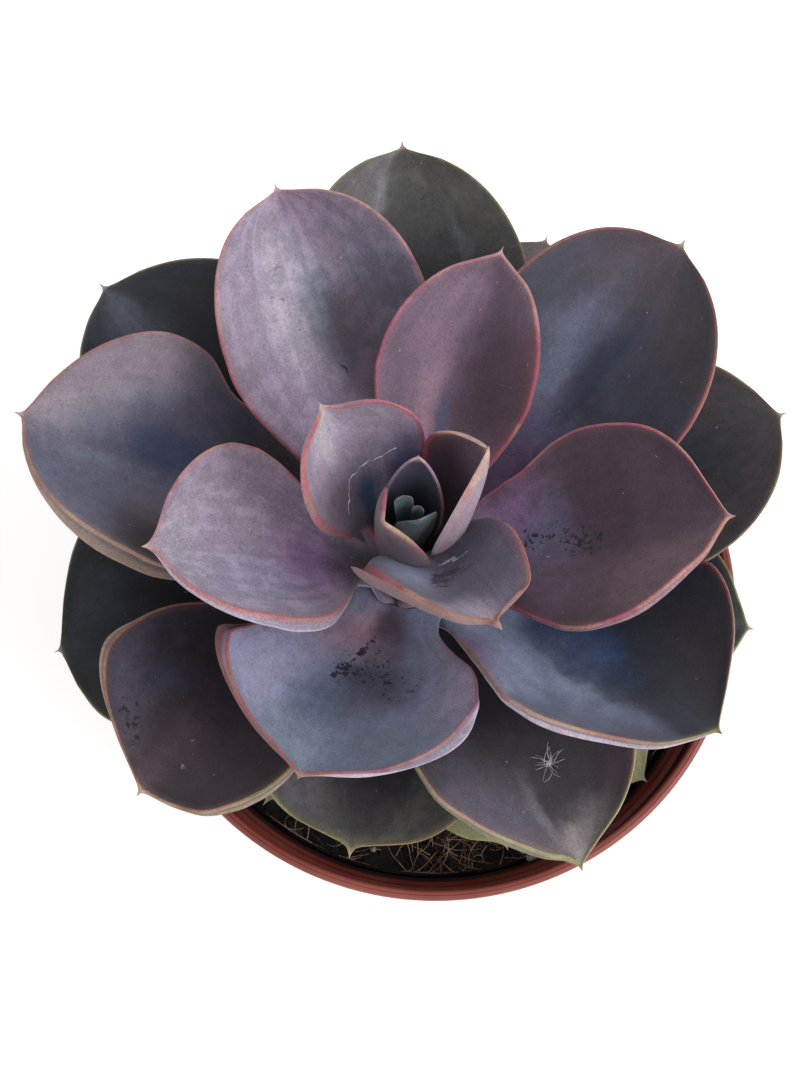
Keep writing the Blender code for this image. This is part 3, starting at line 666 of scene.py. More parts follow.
# each leaf's base paint and patches: paint, across, along, wide, long, amount and, if it slants, slant;
# each scuff has its kind before its paint
# deepShade and nightShade patches are painted shade: wide ones low on a leaf darken its foot where the leaves
# inside overlap it, and the others darken a side turned from the light; the wide plumDark patches low on
# leaves 3, 7 and 10 and the darkTeal one at the foot of leaf 4 are painted shade too
looks = {
    1: {"base": "steelGrey", "rims": ("rimPink", "rimRose", "rimRose", "rimTan"),
        "under": ("mauveBrown", "mauveBrown"), "Patchy": 1.0, "Rim Width": 0.0007},
    2: {"base": "navy", "patches": (("slateDark", 0, 0.85, 1.2, 0.3, 0.6),
        ("plum", 0, 0.97, 1.2, 0.1, 0.6)), "rims": ("mauve", "rimDusty", "mauve", "rimTan"), "Tone": 1.5,
        "Rim Width": 0.0003},
    3: {"base": "plumLight", "patches": (("plumDark", 0, 0.4, 1.3, 0.3, 0.6),
        ("mauve", 0.2, 0.9, 0.8, 0.2, 0.4)), "rims": ("rimRed", "rimRose", "rimTan", "rimTan"),
        "under": ("underAsh", "underAsh"), "Tone": 1.3, "Rim Width": 0.0008},
    4: {"base": "lilac", "patches": (("chalk", 0.3, 0.9, 0.5, 0.16, 0.7),
        ("mauveGrey", -0.6, 0.78, 0.5, 0.22, 0.7), ("lilacPink", 0.75, 0.6, 0.35, 0.3, 0.6),
        ("indigo", -0.75, 0.5, 0.4, 0.2, 0.9), ("teal", 0.02, 0.44, 0.36, 0.2, 0.95),
        ("darkTeal", 0.1, 0.24, 1.2, 0.16, 0.9)),
        "scuffs": (("flake", "chalk", 0.1, 0.94, 0.5, 0.07, 1.1),),
        "rims": ("rimCoral", "rimRose", "rimCoral", "rimTan"), "Patchy": 0.7, "Rim Width": 0.0005,
        "Spine": "chalk"},
    5: {"base": "slateMauve", "patches": (("iceBlue", -0.45, 0.44, 0.6, 0.3, 0.95),
        ("lilacBlue", 0.3, 0.36, 0.6, 0.22, 0.8), ("slateDark", 0.45, 0.6, 0.45, 0.2, 0.7),
        ("lilac", -0.1, 0.94, 0.9, 0.12, 0.8)),
        "scuffs": (("scratch", "plumDark", 0.1, 0.68, 0.6, 0.09, 1.5),
        ("scratch", "chalk", 0.3, 0.6, 0.4, 0.06, 1.25)),
        "rims": ("rimRed", "rimRed", "rimBrown", "rimTan"), "under": ("underClay", "underClay"),
        "Tone": 1.2, "Patchy": 0.4, "Rim Width": 0.0006},
    6: {"base": "mauveLight", "patches": (("lilacBlue", 0.0, 0.2, 1.2, 0.16, 0.7),
        ("plum", -0.45, 0.6, 0.75, 0.45, 0.95), ("redPlum", -0.95, 0.6, 0.3, 0.4, 0.5),
        ("plum", 0.8, 0.6, 0.3, 0.3, 0.4), ("plumLight", 0.1, 0.95, 0.9, 0.13, 0.8),
        ("blueSlate", 0.02, 0.33, 0.16, 0.2, 0.8), ("rose", 0.27, 0.47, 0.2, 0.3, 0.9),
        ("mauve", 0.3, 0.76, 0.6, 0.16, 0.75)), "rims": ("rimRose", "rimRed", "rimPink", "rimTan")},
    7: {"base": "lilac", "patches": (("lilacPink", -0.75, 0.64, 0.6, 0.3, 0.5),
        ("mauve", -0.6, 0.4, 0.7, 0.2, 0.3), ("ash", 0.1, 0.88, 0.9, 0.2, 0.7),
        ("lilacBlue", 0.5, 0.6, 0.45, 0.32, 0.5), ("lilacPink", -0.2, 0.56, 0.3, 0.14, 0.5),
        ("orchid", 0.15, 0.34, 0.7, 0.24, 0.85), ("plumDark", 0, 0.1, 1.4, 0.18, 0.8)),
        "scuffs": (("patch", "mauveGrey", -0.15, 0.62, 0.5, 0.2, 0.8),),
        "rims": ("rimCoral", "rimRose", "rimPink", "rimTan"), "under": ("underPale", "underPink"),
        "Bloom": 0.2},
    8: {"base": "plumLight", "patches": (("plum", 0.3, 0.68, 0.7, 0.4, 0.9),
        ("roseBrown", -0.65, 0.74, 0.5, 0.26, 0.85), ("mauve", -0.5, 0.38, 0.5, 0.2, 0.5),
        ("slateLilac", 0.2, 0.34, 0.6, 0.2, 0.85), ("orchid", 0.6, 0.26, 0.5, 0.18, 0.8),
        ("orchidPale", 0.2, 0.12, 1.2, 0.16, 0.9)),
        "scuffs": (("speckle", "speck", 0.0, 0.5, 0.35, 0.2, 1.15),
        ("speckle", "speck", 0.15, 0.34, 0.4, 0.16, 1.05)),
        "rims": ("rimRose", "rimRose", "rimCoral", "rimTan"), "under": ("underPink", "underPink"),
        "Mottle": 0.5},
    9: {"base": "slateBlue", "patches": (("lilacBlue", -0.8, 0.6, 0.5, 0.35, 0.85),
        ("greyTeal", -0.2, 0.86, 0.6, 0.2, 0.7), ("blueSlate", -0.12, 0.6, 0.3, 0.22, 0.6),
        ("slateDark", 0.2, 0.45, 0.32, 0.28, 0.95), ("slateGrey", 0.55, 0.78, 0.5, 0.2, 0.6),
        ("lilac", 0.88, 0.42, 0.35, 0.28, 0.7), ("rose", -0.3, 0.25, 0.7, 0.19, 0.9),
        ("plum", 0.12, 0.16, 0.4, 0.16, 0.85)),
        "scuffs": (("speckle", "speck", -0.02, 0.32, 0.14, 0.16, 1.35, -0.2),
        ("flake", "speck", -0.08, 0.47, 0.22, 0.09, 1.4, -0.5),
        ("speckle", "speck", 0.15, 0.4, 0.7, 0.26, 0.9)),
        "rims": ("rimMauve", "rimBrick", "rimBrick", "rimTan"), "under": ("underPale", "brickBrown")},
    10: {"base": "lilac", "patches": (("slateDark", -0.7, 0.7, 0.6, 0.3, 0.85),
        ("plum", -0.25, 0.57, 0.3, 0.26, 0.7), ("slateDark", -0.05, 0.62, 0.2, 0.18, 0.85),
        ("plum", -0.7, 0.4, 0.6, 0.2, 0.7), ("mauve", -0.3, 0.95, 1.0, 0.15, 0.8),
        ("ash", 0.3, 0.72, 0.3, 0.3, 0.7), ("greyTeal", -0.02, 0.72, 0.12, 0.2, 0.5),
        ("orchidPale", 0.55, 0.4, 0.7, 0.2, 0.4), ("mauveGrey", 0.95, 0.6, 0.25, 0.4, 0.5),
        ("plumDark", 0, 0.14, 1.4, 0.2, 0.8)), "scuffs": (("patch", "mauveGrey", 0.2, 0.8, 0.4, 0.2, 0.85),
        ("flake", "speck", -0.03, 0.52, 0.1, 0.08, 0.9)),
        "rims": ("rimRose", "rimDusty", "rimPink", "rimTan"), "Bloom": 0.22},
    11: {"base": "charcoalBlue", "patches": (("umber", 0.5, 0.88, 0.6, 0.25, 0.5),
        ("deepBlue", -0.02, 0.5, 0.3, 0.24, 0.9, -0.5), ("iceSteel", -0.7, 0.34, 0.75, 0.34, 0.8),
        ("iceSteel", -0.2, 0.2, 0.8, 0.16, 0.9), ("slateBlue", -0.7, 0.72, 0.38, 0.18, 0.85),
        ("skySteel", -0.42, 0.5, 0.16, 0.24, 0.7, -1.0), ("slate", -0.85, 0.82, 0.3, 0.2, 0.8),
        ("orchidPale", -0.95, 0.26, 0.4, 0.14, 0.7)),
        "rims": ("rimBrick", "rimTan", "rimOlive", "rimBrick"), "under": ("underPale", "underPale"),
        "Spine": "yellowGreen"},
    12: {"base": "slateDark", "patches": (("slateBlue", 0.3, 0.56, 0.32, 0.26, 0.75),
        ("slateLilac", 0.0, 0.42, 0.6, 0.14, 0.8), ("slate", 0.3, 0.74, 0.3, 0.14, 0.5),
        ("umber", -0.65, 0.76, 0.65, 0.3, 0.7), ("plumBrown", 0.3, 0.92, 0.9, 0.16, 0.7),
        ("nightDeep", -0.04, 0.66, 0.2, 0.24, 0.8), ("indigoDark", -0.6, 0.56, 0.5, 0.2, 0.7),
        ("orchid", 0.3, 0.26, 0.9, 0.16, 0.8), ("orchidPale", 0.2, 0.13, 1.2, 0.14, 0.9)),
        "rims": ("rimBrick", "rimBrick", "rimBrown", "rimBrown")},
    # leaf 13: the deepShade patches on its lower side and at its foot are painted shade, the foot one a
    # painted shadow of leaf 10; the slate patch on the lower side is partly the leaf's own blue and partly
    # painted shade
    13: {"base": "mauveGrey", "patches": (("ash", -0.2, 0.84, 0.25, 0.18, 0.35),
        ("slate", 0.6, 0.82, 0.8, 0.3, 0.9), ("night", -0.12, 0.62, 0.55, 0.25, 0.95),
        ("nightShade", -0.75, 0.5, 0.55, 0.2, 0.9), ("deepShade", 0.85, 0.55, 0.55, 0.2, 0.85),
        ("slateGrey", 0.22, 0.74, 0.09, 0.18, 0.5), ("deepShade", 0, 0.3, 1.8, 0.24, 1.0)),
        "rims": ("rimTan", "rimDusty", "rimBrown", "rimTan"), "under": ("underTan", "underPink"),
        "Spine": "chalk"},
    14: {"base": "plumDark", "patches": (("slateMauve", -0.72, 0.84, 0.4, 0.2, 0.75),
        ("indigoDark", -0.6, 0.68, 0.4, 0.15, 0.6), ("plumBrown", -0.1, 0.95, 0.6, 0.12, 0.8),
        ("umber", 0.6, 0.85, 0.4, 0.2, 0.7), ("plumBrown", 0.05, 0.8, 0.35, 0.12, 0.5),
        ("deepShade", 0, 0.4, 1.6, 0.22, 0.8)), "scuffs": (("flake", "speck", -0.55, 0.86, 0.4, 0.14, 1.0),
        ("patch", "mauveGrey", 0.1, 0.8, 0.5, 0.14, 0.7)),
        "rims": ("rimOlive", "rimBrown", "rimTan", "rimBrown"), "under": ("underTan", "underTan"),
        "Mottle": 0.5},
    15: {"base": "ashBrown", "patches": (("mauveGreyDark", -0.7, 0.78, 0.55, 0.34, 0.95),
        ("ashDark", -0.3, 0.82, 0.12, 0.2, 0.7, -0.5), ("plumBrown", 0.8, 0.75, 0.3, 0.3, 0.6),
        ("tipPale", 0.0, 0.97, 0.9, 0.12, 0.9), ("brownGrey", -0.7, 0.9, 0.5, 0.12, 0.7),
        ("deepShade", 0, 0.3, 1.3, 0.3, 0.7)),
        "scuffs": (("patch", "mauveGrey", -0.4, 0.84, 0.7, 0.2, 0.6),),
        "rims": ("rimTan", "rimTan", "rimGreen", "rimOlive"), "under": ("underPale", "underGreen"),
        "Spine": "yellowGreen"},
    16: {"base": "slateOlive", "patches": (("ashDark", 0.35, 0.84, 0.15, 0.16, 0.8),
        ("ashDark", 0.55, 0.76, 0.35, 0.26, 0.6), ("brownGrey", 0.85, 0.85, 0.4, 0.2, 0.6),
        ("charcoal", -0.1, 0.64, 0.9, 0.22, 0.85), ("slateGrey", -0.45, 0.76, 0.07, 0.1, 0.35),
        ("umber", 0, 0.97, 0.8, 0.08, 0.5)), "scuffs": (("speckle", "plumDark", -0.3, 0.85, 0.8, 0.2, 0.6),)},
    17: {"base": "ashBrown", "patches": (("umber", 0, 0.92, 1, 0.15, 0.5),
        ("nightGreen", 0.0, 0.74, 0.7, 0.16, 0.8)),
        "scuffs": (("speckle", "plumDark", 0.1, 0.8, 1.0, 0.25, 0.75),
        ("patch", "slateGrey", 0.3, 0.75, 0.8, 0.2, 0.5))},
    18: {"base": "charcoalBlue", "patches": (("indigoDark", 0.2, 0.8, 0.4, 0.22, 0.5),
        ("deepShade", -0.5, 0.6, 0.8, 0.3, 0.9), ("deepShade", 0, 0.4, 1.4, 0.3, 0.9),
        ("slateGrey", 0.1, 0.92, 0.35, 0.14, 0.5)),
        "scuffs": (("patch", "slateGrey", 0.0, 0.8, 0.9, 0.2, 0.45),)},
    19: {"base": "nightGreen", "patches": (("charcoalSlate", -0.2, 0.8, 0.35, 0.22, 0.35),
        ("deepShade", 0.2, 0.5, 1.4, 0.36, 0.85), ("umber", 0.7, 0.85, 0.3, 0.2, 0.4)),
        "scuffs": (("patch", "charcoalSlate", -0.2, 0.8, 1.0, 0.25, 0.5),)},
    20: {"base": "brownGrey"},
    21: {"base": "slateOlive", "patches": (("mauveGreyDark", -0.7, 0.8, 0.4, 0.3, 0.6),
        ("charcoal", 0.1, 0.68, 0.45, 0.3, 0.9), ("deepShade", 0, 0.45, 1.3, 0.25, 0.8)),
        "rims": ("rimGreen", "rimGreen", "rimOlive", "rimBrown"), "Rim Width": 0.0006, "Halo": 0.3},
    22: {"base": "nightGreen", "patches": (("slateOlive", 0.2, 0.85, 0.5, 0.2, 0.6),
        ("deepShade", 0, 0.5, 1.2, 0.35, 0.8)), "rims": ("rimGreen", "rimGreen", "rimGreen", "rimBrown")},
    **dict.fromkeys((23, 24, 25), {"base": "greyGreen", "patches": (("paleOlive", 0, 0.9, 1.2, 0.2, 0.7),)}),
}


scuffGrain = {"flake": 820.0, "speckle": 1100.0, "patch": 330.0}  # grains per metre
scratchGrain = (4.0, 60.0, 0.0)  # grains across and along the leaf


def makeLeafMaterial(name, look, seed):
    material, tree, shader, body = newMaterial(name, skin["roughness"], skin["specular"])
    read = {}
    for source, output in (("leafPlace", "Vector"), ("rimNear", "Fac"), ("tipNear", "Fac")):
        read[source] = addNode(tree, "Attribute", attribute_name=source).outputs[output]
    place = placeGroup(tree, skinPlace, {"Place": read["leafPlace"], "Body": body, "Seed": float(seed)})
    where = {label: place[label] for label in placeLabels}
    colour = paint(look["base"])
    for shade, *values in look.get("patches", ()):
        zone = {"Across": place["Across"], "Along": place["Along"], **dict(zip(zoneLabels, values))}
        colour = placeGroup(tree, softPatch, {"Color": colour, "Patch": shade, **zone})["Color"]
    for kind, shade, *values in look.get("scuffs", ()):
        scratched = kind == "scratch"
        start = read["leafPlace"] if scratched else body
        scale = scratchGrain if scratched else (scuffGrain[kind],) * 3
        spread = addNode(tree, "VectorMath", start, scale, operation="MULTIPLY").outputs[0]
        zone = {label: place[label] for label in ("Across", "Along", "Side")} | dict(zip(zoneLabels, values))
        settings = {"Color": colour, "Mark": shade, "Grain Place": spread, **zone}
        colour = placeGroup(tree, waxScuffs, settings)["Color"]
    settings = {label: value for label, value in look.items() if label[0].isupper()}
    settings.update(zip(rimLabels + underLabels, look["rims"] + look["under"]))
    settings.update({"Rim Near": read["rimNear"], "Tip Near": read["tipNear"], "Color": colour, "Body": body})
    finish = placeGroup(tree, leafSkin, {**settings, **where})
    tree.links.new(finish["Color"], shader.inputs["Base Color"])
    tree.links.new(finish["Roughness"], shader.inputs["Roughness"])
    shader.inputs["Sheen Weight"].default_value = skin["sheen"]
    shader.inputs["Sheen Roughness"].default_value = skin["sheenRoughness"]
    bump(tree, shader, finish["Height"], *skin["bump"])
    return material


def leafForm(number):
    rims = {"shift": rimShift.get(number, {}), "lip": lips.get(number, {})}
    return {**usualLeaf, **leaves[number], **rims, "fill": fills.get(number), "open": opened.get(number, {})}


lastLeaf = {"leaf_inner": 9, "leaf_middle": 15, "leaf_outer": 22, "leaf_low": 25}  # of each finish


def makeLeaves():
    for number in leaves:
        finish = next(name for name, last in lastLeaf.items() if number <= last)
        look = {**usualLook, **finishes[finish], **looks[number]}
        material = makeLeafMaterial(f"waxySkin_{number:02d}", look, number)
        bm = leafBmesh(leafForm(number), leafShape["sides"], leafShape["stations"])
        addPiece(f"leafSkin_{number:02d}", bm, material, finish, f"leaf_{number:02d}")
    print("leaves made:", len(leaves))


# heart: three small leaves closed over a knob

heart = {
    "leaves": (
        dict(at=(100, 3.2, 157, 128.4, 3.4, 82, 92), cup=24, veer=0.6, shoulder=0.9, point=0.1, thick=0.8),
        dict(at=(72, 2.3, 155, 128.4, 2.2, 84, 90), cup=30, veer=-0.9, shoulder=0.9, point=0.12, thick=0.7),
        dict(at=(286, 0.8, 155, 128.4, 7.8, 86, 92), cup=22, veer=1.3, neck=0.3, shoulder=0.86, point=0.16,
             thick=1.1),
    ),
    "neck": 0.8, "sides": 40, "stations": 36, "wave": 0.3, "seed": 31,
    "knob": ((0, 0), (1.2, 0), (2.0, 1.2), (1.9, 3.4), (1.8, 5.7), (1.2, 7.6), (0, 8.7)), "knobSteps": 32,
    "knobPlace": (0.0, 0.3, 1.0), "knobRim": 0.01,  # where its skin counts as lying on a leaf
}


def makeHeart():
    joined = bmesh.new()
    addLayers(joined)
    for form in heart["leaves"]:
        form = {**usualLeaf, "neck": heart["neck"], **form}
        pour(joined, leafBmesh(form, heart["sides"], heart["stations"], heart["wave"]))
    foot = leafShape["stemTop"] + leafShape["gap"]
    knob = [(radius, foot + height) for radius, height in heart["knob"]]
    bud = spun(knob, heart["knobSteps"], (leafShape["plantX"], 0.0))
    place, rimNear, tipNear = addLayers(bud)
    for vert in bud.verts:
        vert[place] = heart["knobPlace"]
        vert[rimNear] = vert[tipNear] = heart["knobRim"]
    pour(joined, toMetres(bud))
    look = {**usualLook, "base": "heartTeal", "rims": ("heartRim",) * 4, "under": ("heartGreen",) * 2}
    look.update({"Tone": 1.2, "Rim Width": 0.00018, "Spine": "heartRim", "Pricks": 0.2, "Mottle": 0.2})
    material = makeLeafMaterial("waxySkin_heart", look, heart["seed"])
    addPiece("heartSkin", joined, material, "leaf_inner", "heart")
    print("heart made")


# pot

pot = {
    "height": 106.0, "rim": 60.0, "lip": 2.0, "foot": 43.0, "wall": 1.3, "floor": 1.6, "footEdge": 1.0,
    "collar": 11.0, "collarTaper": 1.0, "collarStep": 1.0, "collarEdge": 0.5, "fillet": (0.15, 0.4),
    "grooveIn": 27.0, "grooveOut": 37.0, "grooveRise": 3.0, "grooveSlope": 1.5, "holes": 8, "holeRadius": 3.2,
    "lipOuterEdge": 0.9, "lipInnerEdge": 0.7,
    "lipLine": 0.92, "lipLineDepth": 0.16, "lipLineWidth": 0.2, "lipLineEdge": 0.02,
    "wallFrom": 8.0, "wallTo": 0.6, "wallRings": 9, "insideFrom": 8.0, "insideTo": 4.0, "insideRings": 6,
    "steps": 192, "holeSides": 32, "sharp": 38.0,  # an edge over so many degrees stays sharp
}


def wallRadius(height):
    top = pot["rim"] - pot["collarTaper"] - pot["collarStep"]
    return pot["foot"] + (top - pot["foot"]) * height / pot["height"]


def corner(radius, height, size, first, steps):  # a quarter circle in the profile
    angles = np.radians(np.linspace(first, first + 90, steps))
    return [(radius + size * math.cos(a), height + size * math.sin(a)) for a in angles]


def potProfile():  # from the middle of the underside, out and up, over the lip and back down inside
    p = pot
    collar, lip, top = p["height"] - p["collar"], p["rim"] - p["lip"], p["height"]
    innerSlope, outerSlope = p["grooveIn"] + p["grooveSlope"], p["grooveOut"] - p["grooveSlope"]
    profile = [(0, 0), (p["grooveIn"], 0), (innerSlope, p["grooveRise"])]
    profile += [(outerSlope, p["grooveRise"]), (p["grooveOut"], 0)]
    profile += corner(p["foot"] - p["footEdge"], p["footEdge"], p["footEdge"], -90, 5)
    profile += [(wallRadius(h), h) for h in np.linspace(p["wallFrom"], collar - p["wallTo"], p["wallRings"])]
    near, far = p["fillet"]
    profile += [(wallRadius(collar) + near, collar - near), (wallRadius(collar) + far, collar)]
    edge = p["rim"] - p["collarTaper"] - p["collarEdge"]
    profile += corner(edge, collar + p["collarEdge"], p["collarEdge"], -90, 4)
    line, half, beside = p["rim"] - p["lipLine"], p["lipLineWidth"] / 2, top - p["lipLineEdge"]
    rim = corner(p["rim"] - p["lipOuterEdge"], top - p["lipOuterEdge"], p["lipOuterEdge"], 0, 8)
    rim += [(line + half, beside), (line, top - p["lipLineDepth"]), (line - half, beside)]
    profile += [point for point in rim if point[0] > line - 2 * half]
    profile += corner(lip + p["lipInnerEdge"], top - p["lipInnerEdge"], p["lipInnerEdge"], 90, 6)
    step = collar - p["lip"]
    profile += [(lip - p["wall"] / 4, collar), (wallRadius(step) - p["wall"], step)]
    inside = np.linspace(step - p["insideFrom"], p["floor"] + p["insideTo"], p["insideRings"])
    heights = [*inside, p["floor"]]
    profile += [(wallRadius(h) - p["wall"], h) for h in heights]
    return profile + floorRidge(p["floor"])


def floorRidge(floor):  # over the raised ring to the middle, on the pot's floor or under its soil
    p = pot
    raised = floor + p["grooveRise"]
    ridge = [(p["grooveOut"] + p["grooveSlope"], floor), (p["grooveOut"], raised)]
    return ridge + [(p["grooveIn"], raised), (p["grooveIn"] - p["grooveSlope"], floor), (0, floor)]


def drillHoles():
    p = pot
    drills = bmesh.new()
    middle = (p["grooveIn"] + p["grooveOut"]) / 2
    size = dict(radius1=p["holeRadius"] * mm, radius2=p["holeRadius"] * mm, depth=4 * p["grooveRise"] * mm)
    for index in range(p["holes"]):
        angle = 2 * math.pi * index / p["holes"]
        made = bmesh.ops.create_cone(drills, cap_ends=True, segments=p["holeSides"], **size)
        spot = Vector((middle * math.cos(angle), middle * math.sin(angle), p["grooveRise"])) * mm
        bmesh.ops.translate(drills, vec=spot, verts=made["verts"])
    mesh = bpy.data.meshes.new("drills")
    drills.to_mesh(mesh)
    drills.free()
    drill = bpy.data.objects.new("drills", mesh)
    bpy.context.scene.collection.objects.link(drill)
    return drill


def makePot():
    bm = toMetres(spun(potProfile(), pot["steps"]))
    piece = addPiece("nurseryPot", bm, makePlastic(), "pot", "pot")
    drill = drillHoles()
    modifier = piece.modifiers.new("drain", "BOOLEAN")
    modifier.operation, modifier.solver, modifier.object = "DIFFERENCE", "EXACT", drill
    drained = evaluated(piece)
    piece.modifiers.clear()
    piece.data = drained
    bpy.data.objects.remove(drill)
    sharp = bmesh.new()
    sharp.from_mesh(piece.data)
    for made in sharp.edges:
        made.smooth = made.calc_face_angle(0.0) < math.radians(pot["sharp"])
    sharp.to_mesh(piece.data)
    sharp.free()
    print("pot made,", len(piece.data.polygons), "faces")


plastic = {
    "red": (0.170, 0.028, 0.019, 1), "worn": (0.225, 0.052, 0.036, 1), "dark": (0.09, 0.022, 0.017, 1),
    # the near-black dust is soil dust on the inner wall together with painted shade there
    "dust": (0.008, 0.006, 0.006, 1), "scuff": (0.34, 0.15, 0.11, 1), "roughness": (0.36, 0.22),
    "mould": (60.0, 3.0), "fine": (900.0, 2.0), "wornFrom": (0.35, 0.7), "footShade": (0.0, 0.02),
    "scuffGrain": (330.0, 5.0, 0.7), "scuffs": (0.62, 0.72), "bump": (0.15, 0.0001),
    "footInk": 0.5, "dustInk": 0.9, "scuffInk": 0.2,
    "insideOf": (0.0577, 0.0582), "belowLip": (0.1046, 0.1059), "aboveSoil": (0.080, 0.086),
    "wallLean": 0.1415, "outsideOf": (0.0421, 0.0425), "belowCollar": (0.0955, 0.0965),
}


def makePlastic():
    p = plastic
    material, tree, shader, body = newMaterial("redBrownPlastic", p["roughness"][0], 0.45)
    mould, fine = grain(tree, body, *p["mould"]), grain(tree, body, *p["fine"])
    colour = tint(tree, rise(tree, mould, *p["wornFrom"]), p["red"], p["worn"])
    x, y, z = addNode(tree, "SeparateXYZ", body).outputs
    colour = tint(tree, times(tree, fall(tree, z, *p["footShade"]), p["footInk"]), colour, p["dark"])
    # soil dust and painted shade on the inner wall only: a near-black paint between the lip and the soil,
    # where the wall lies in shade; the inner wall is nearer the axis than the outer wall at its height
    flat = addNode(tree, "CombineXYZ", x, y).outputs[0]
    reach = addNode(tree, "VectorMath", flat, operation="LENGTH").outputs["Value"]
    dust = times(tree, fall(tree, reach, *p["insideOf"]), fall(tree, z, *p["belowLip"]))
    dust = times(tree, dust, rise(tree, z, *p["aboveSoil"]))
    upright = minus(tree, reach, times(tree, z, p["wallLean"]))
    outside = times(tree, rise(tree, upright, *p["outsideOf"]), fall(tree, z, *p["belowCollar"]))
    dust = times(tree, dust, minus(tree, 1.0, outside))
    colour = tint(tree, times(tree, dust, p["dustInk"]), colour, p["dust"])
    scuffs = rise(tree, grain(tree, body, *p["scuffGrain"]), *p["scuffs"])
    colour = tint(tree, times(tree, scuffs, p["scuffInk"]), colour, p["scuff"])
    feed(tree, shader.inputs["Base Color"], colour)
    roughness = plus(tree, p["roughness"][0], times(tree, fine, p["roughness"][1]))
    feed(tree, shader.inputs["Roughness"], roughness)
    bump(tree, shader, plus(tree, fine, times(tree, scuffs, 0.5)), *p["bump"])
    return material


# soil, with its crumbs, coir fibres and perlite

soil = {
    "level": 90.0, "mound": 3.0, "moundRadius": 26.0, "edge": 4.0, "clear": 1.6, "steps": 300, "rings": 84,
    "waves": ((0.36, 0.16, 1.3, 0.8), (-0.12, 0.41, 0.0, 0.6), (0.61, -0.53, 2.0, 0.5)),  # x, y, phase, high
    "lump": 0.55, "lumpSize": 2.6, "grit": 0.28, "gritSize": 0.9, "slice": 7.0,
    "crumbs": 2600, "batch": 50, "seed": 11, "crumbSizes": (0.25, 0.85), "crumbShrink": (0.5, 1.0),
    "crumbPlaces": (0.12, 0.97), "crumbDents": (0.7, 1.15), "crumbLift": 0.2,
    "crumbStretch": ((0.8, 1.5), (0.7, 1.1), (0.5, 0.9)),
    "lumpGrain": (420.0, 4.0, 0.65), "gritGrain": (1500.0, 3.0, 0.7), "bump": (0.8, 0.0004),
    "deep": (0.004, 0.003, 0.003, 1), "damp": (0.014, 0.009, 0.008, 1), "grains": (0.06, 0.038, 0.03, 1),
}


def soilRadius():
    return wallRadius(soil["level"]) - soil["clear"]


def soilTop(x, y):
    mound = soil["mound"] * math.exp(-((math.hypot(x - leafShape["plantX"], y) / soil["moundRadius"]) ** 2))
    lumps = 0.0
    for alongX, alongY, phase, high in soil["waves"]:
        lumps += high * math.sin(alongX * x + alongY * y + phase)
    spot = Vector((x, y, soil["slice"]))
    lump, grit = noise.noise(spot / soil["lumpSize"]), noise.noise(spot / soil["gritSize"])
    edge = max(0.0, min(1.0, (soilRadius() - math.hypot(x, y)) / soil["edge"]))
    return soil["level"] + edge * (mound + lumps + soil["lump"] * lump + soil["grit"] * grit)


def makeSoilMaterial():
    material, tree, shader, body = newMaterial("pottingMix", 0.85, 0.3)
    lump, grit = grain(tree, body, *soil["lumpGrain"]), grain(tree, body, *soil["gritGrain"])
    colour = tint(tree, rise(tree, lump, 0.35, 0.65), soil["deep"], soil["damp"])
    colour = tint(tree, times(tree, rise(tree, grit, 0.60, 0.70), 0.4), colour, soil["grains"])
    feed(tree, shader.inputs["Base Color"], colour)
    feed(tree, shader.inputs["Roughness"], plus(tree, 0.7, times(tree, grit, 0.25)))
    bump(tree, shader, plus(tree, lump, grit), *soil["bump"])
    return material


def makeCrumbs(earth):
    draw = random.Random(soil["seed"])
    heap = bmesh.new()
    for index in range(soil["crumbs"]):
        if index % soil["batch"] == 0:
            crumbs = bmesh.new()
        radius = soilRadius() * math.sqrt(draw.uniform(*soil["crumbPlaces"]))
        angle = draw.uniform(0, 2 * math.pi)
        x, y = radius * math.cos(angle), radius * math.sin(angle)
        size = draw.uniform(*soil["crumbSizes"]) * draw.uniform(*soil["crumbShrink"])
        made = bmesh.ops.create_icosphere(crumbs, subdivisions=1, radius=size)
        for vert in made["verts"]:
            vert.co *= draw.uniform(*soil["crumbDents"])
        stretch = Vector([draw.uniform(*span) for span in soil["crumbStretch"]])
        bmesh.ops.scale(crumbs, vec=stretch, verts=made["verts"])
        spot = Vector((x, y, soilTop(x, y) + soil["crumbLift"] * size))
        bmesh.ops.translate(crumbs, vec=spot, verts=made["verts"])
        if index % soil["batch"] == soil["batch"] - 1:
            pour(heap, crumbs)
    piece = addPiece("soilCrumbs", toMetres(heap), earth, "soil")
    for face in piece.data.polygons:
        face.use_smooth = False


def makeSoil():
    base = pot["floor"] + leafShape["gap"]
    under = floorRidge(base)[::-1]
    sides = [(wallRadius(base) - soil["clear"] - leafShape["gap"], base), (soilRadius(), soil["level"])]
    top = [(soilRadius() * share, soil["level"]) for share in np.linspace(1, 0, soil["rings"])[1:]]
    bm = spun(under + sides + top, soil["steps"])
    for vert in bm.verts:
        if vert.co.z > soil["level"] - 1:
            vert.co.z = soilTop(vert.co.x, vert.co.y)
    earth = makeSoilMaterial()
    addPiece("pottingSoil", toMetres(bm), earth, "soil", "soil")
    makeCrumbs(earth)
    print("soil made")


def threads(name, lines, material, slot, thick):  # bent tubes through the points of each line
    curve = bpy.data.curves.new(name, "CURVE")
    curve.dimensions = "3D"
    curve.bevel_depth = thick * mm
    curve.bevel_resolution = 1
    curve.use_fill_caps = True
    for line in lines:
        spline = curve.splines.new("POLY")
        spline.points.add(len(line) - 1)
        for spot, (point, taper) in zip(spline.points, line):
            spot.co = (*(value * mm for value in point), 1.0)
            spot.radius = taper
    maker = bpy.data.objects.new(name + "Curve", curve)
    bpy.context.scene.collection.objects.link(maker)
    mesh = evaluated(maker)
    bpy.data.objects.remove(maker)
    bm = bmesh.new()
    bm.from_mesh(mesh)
    bpy.data.meshes.remove(mesh)
    return addPiece(name, bm, material, slot)


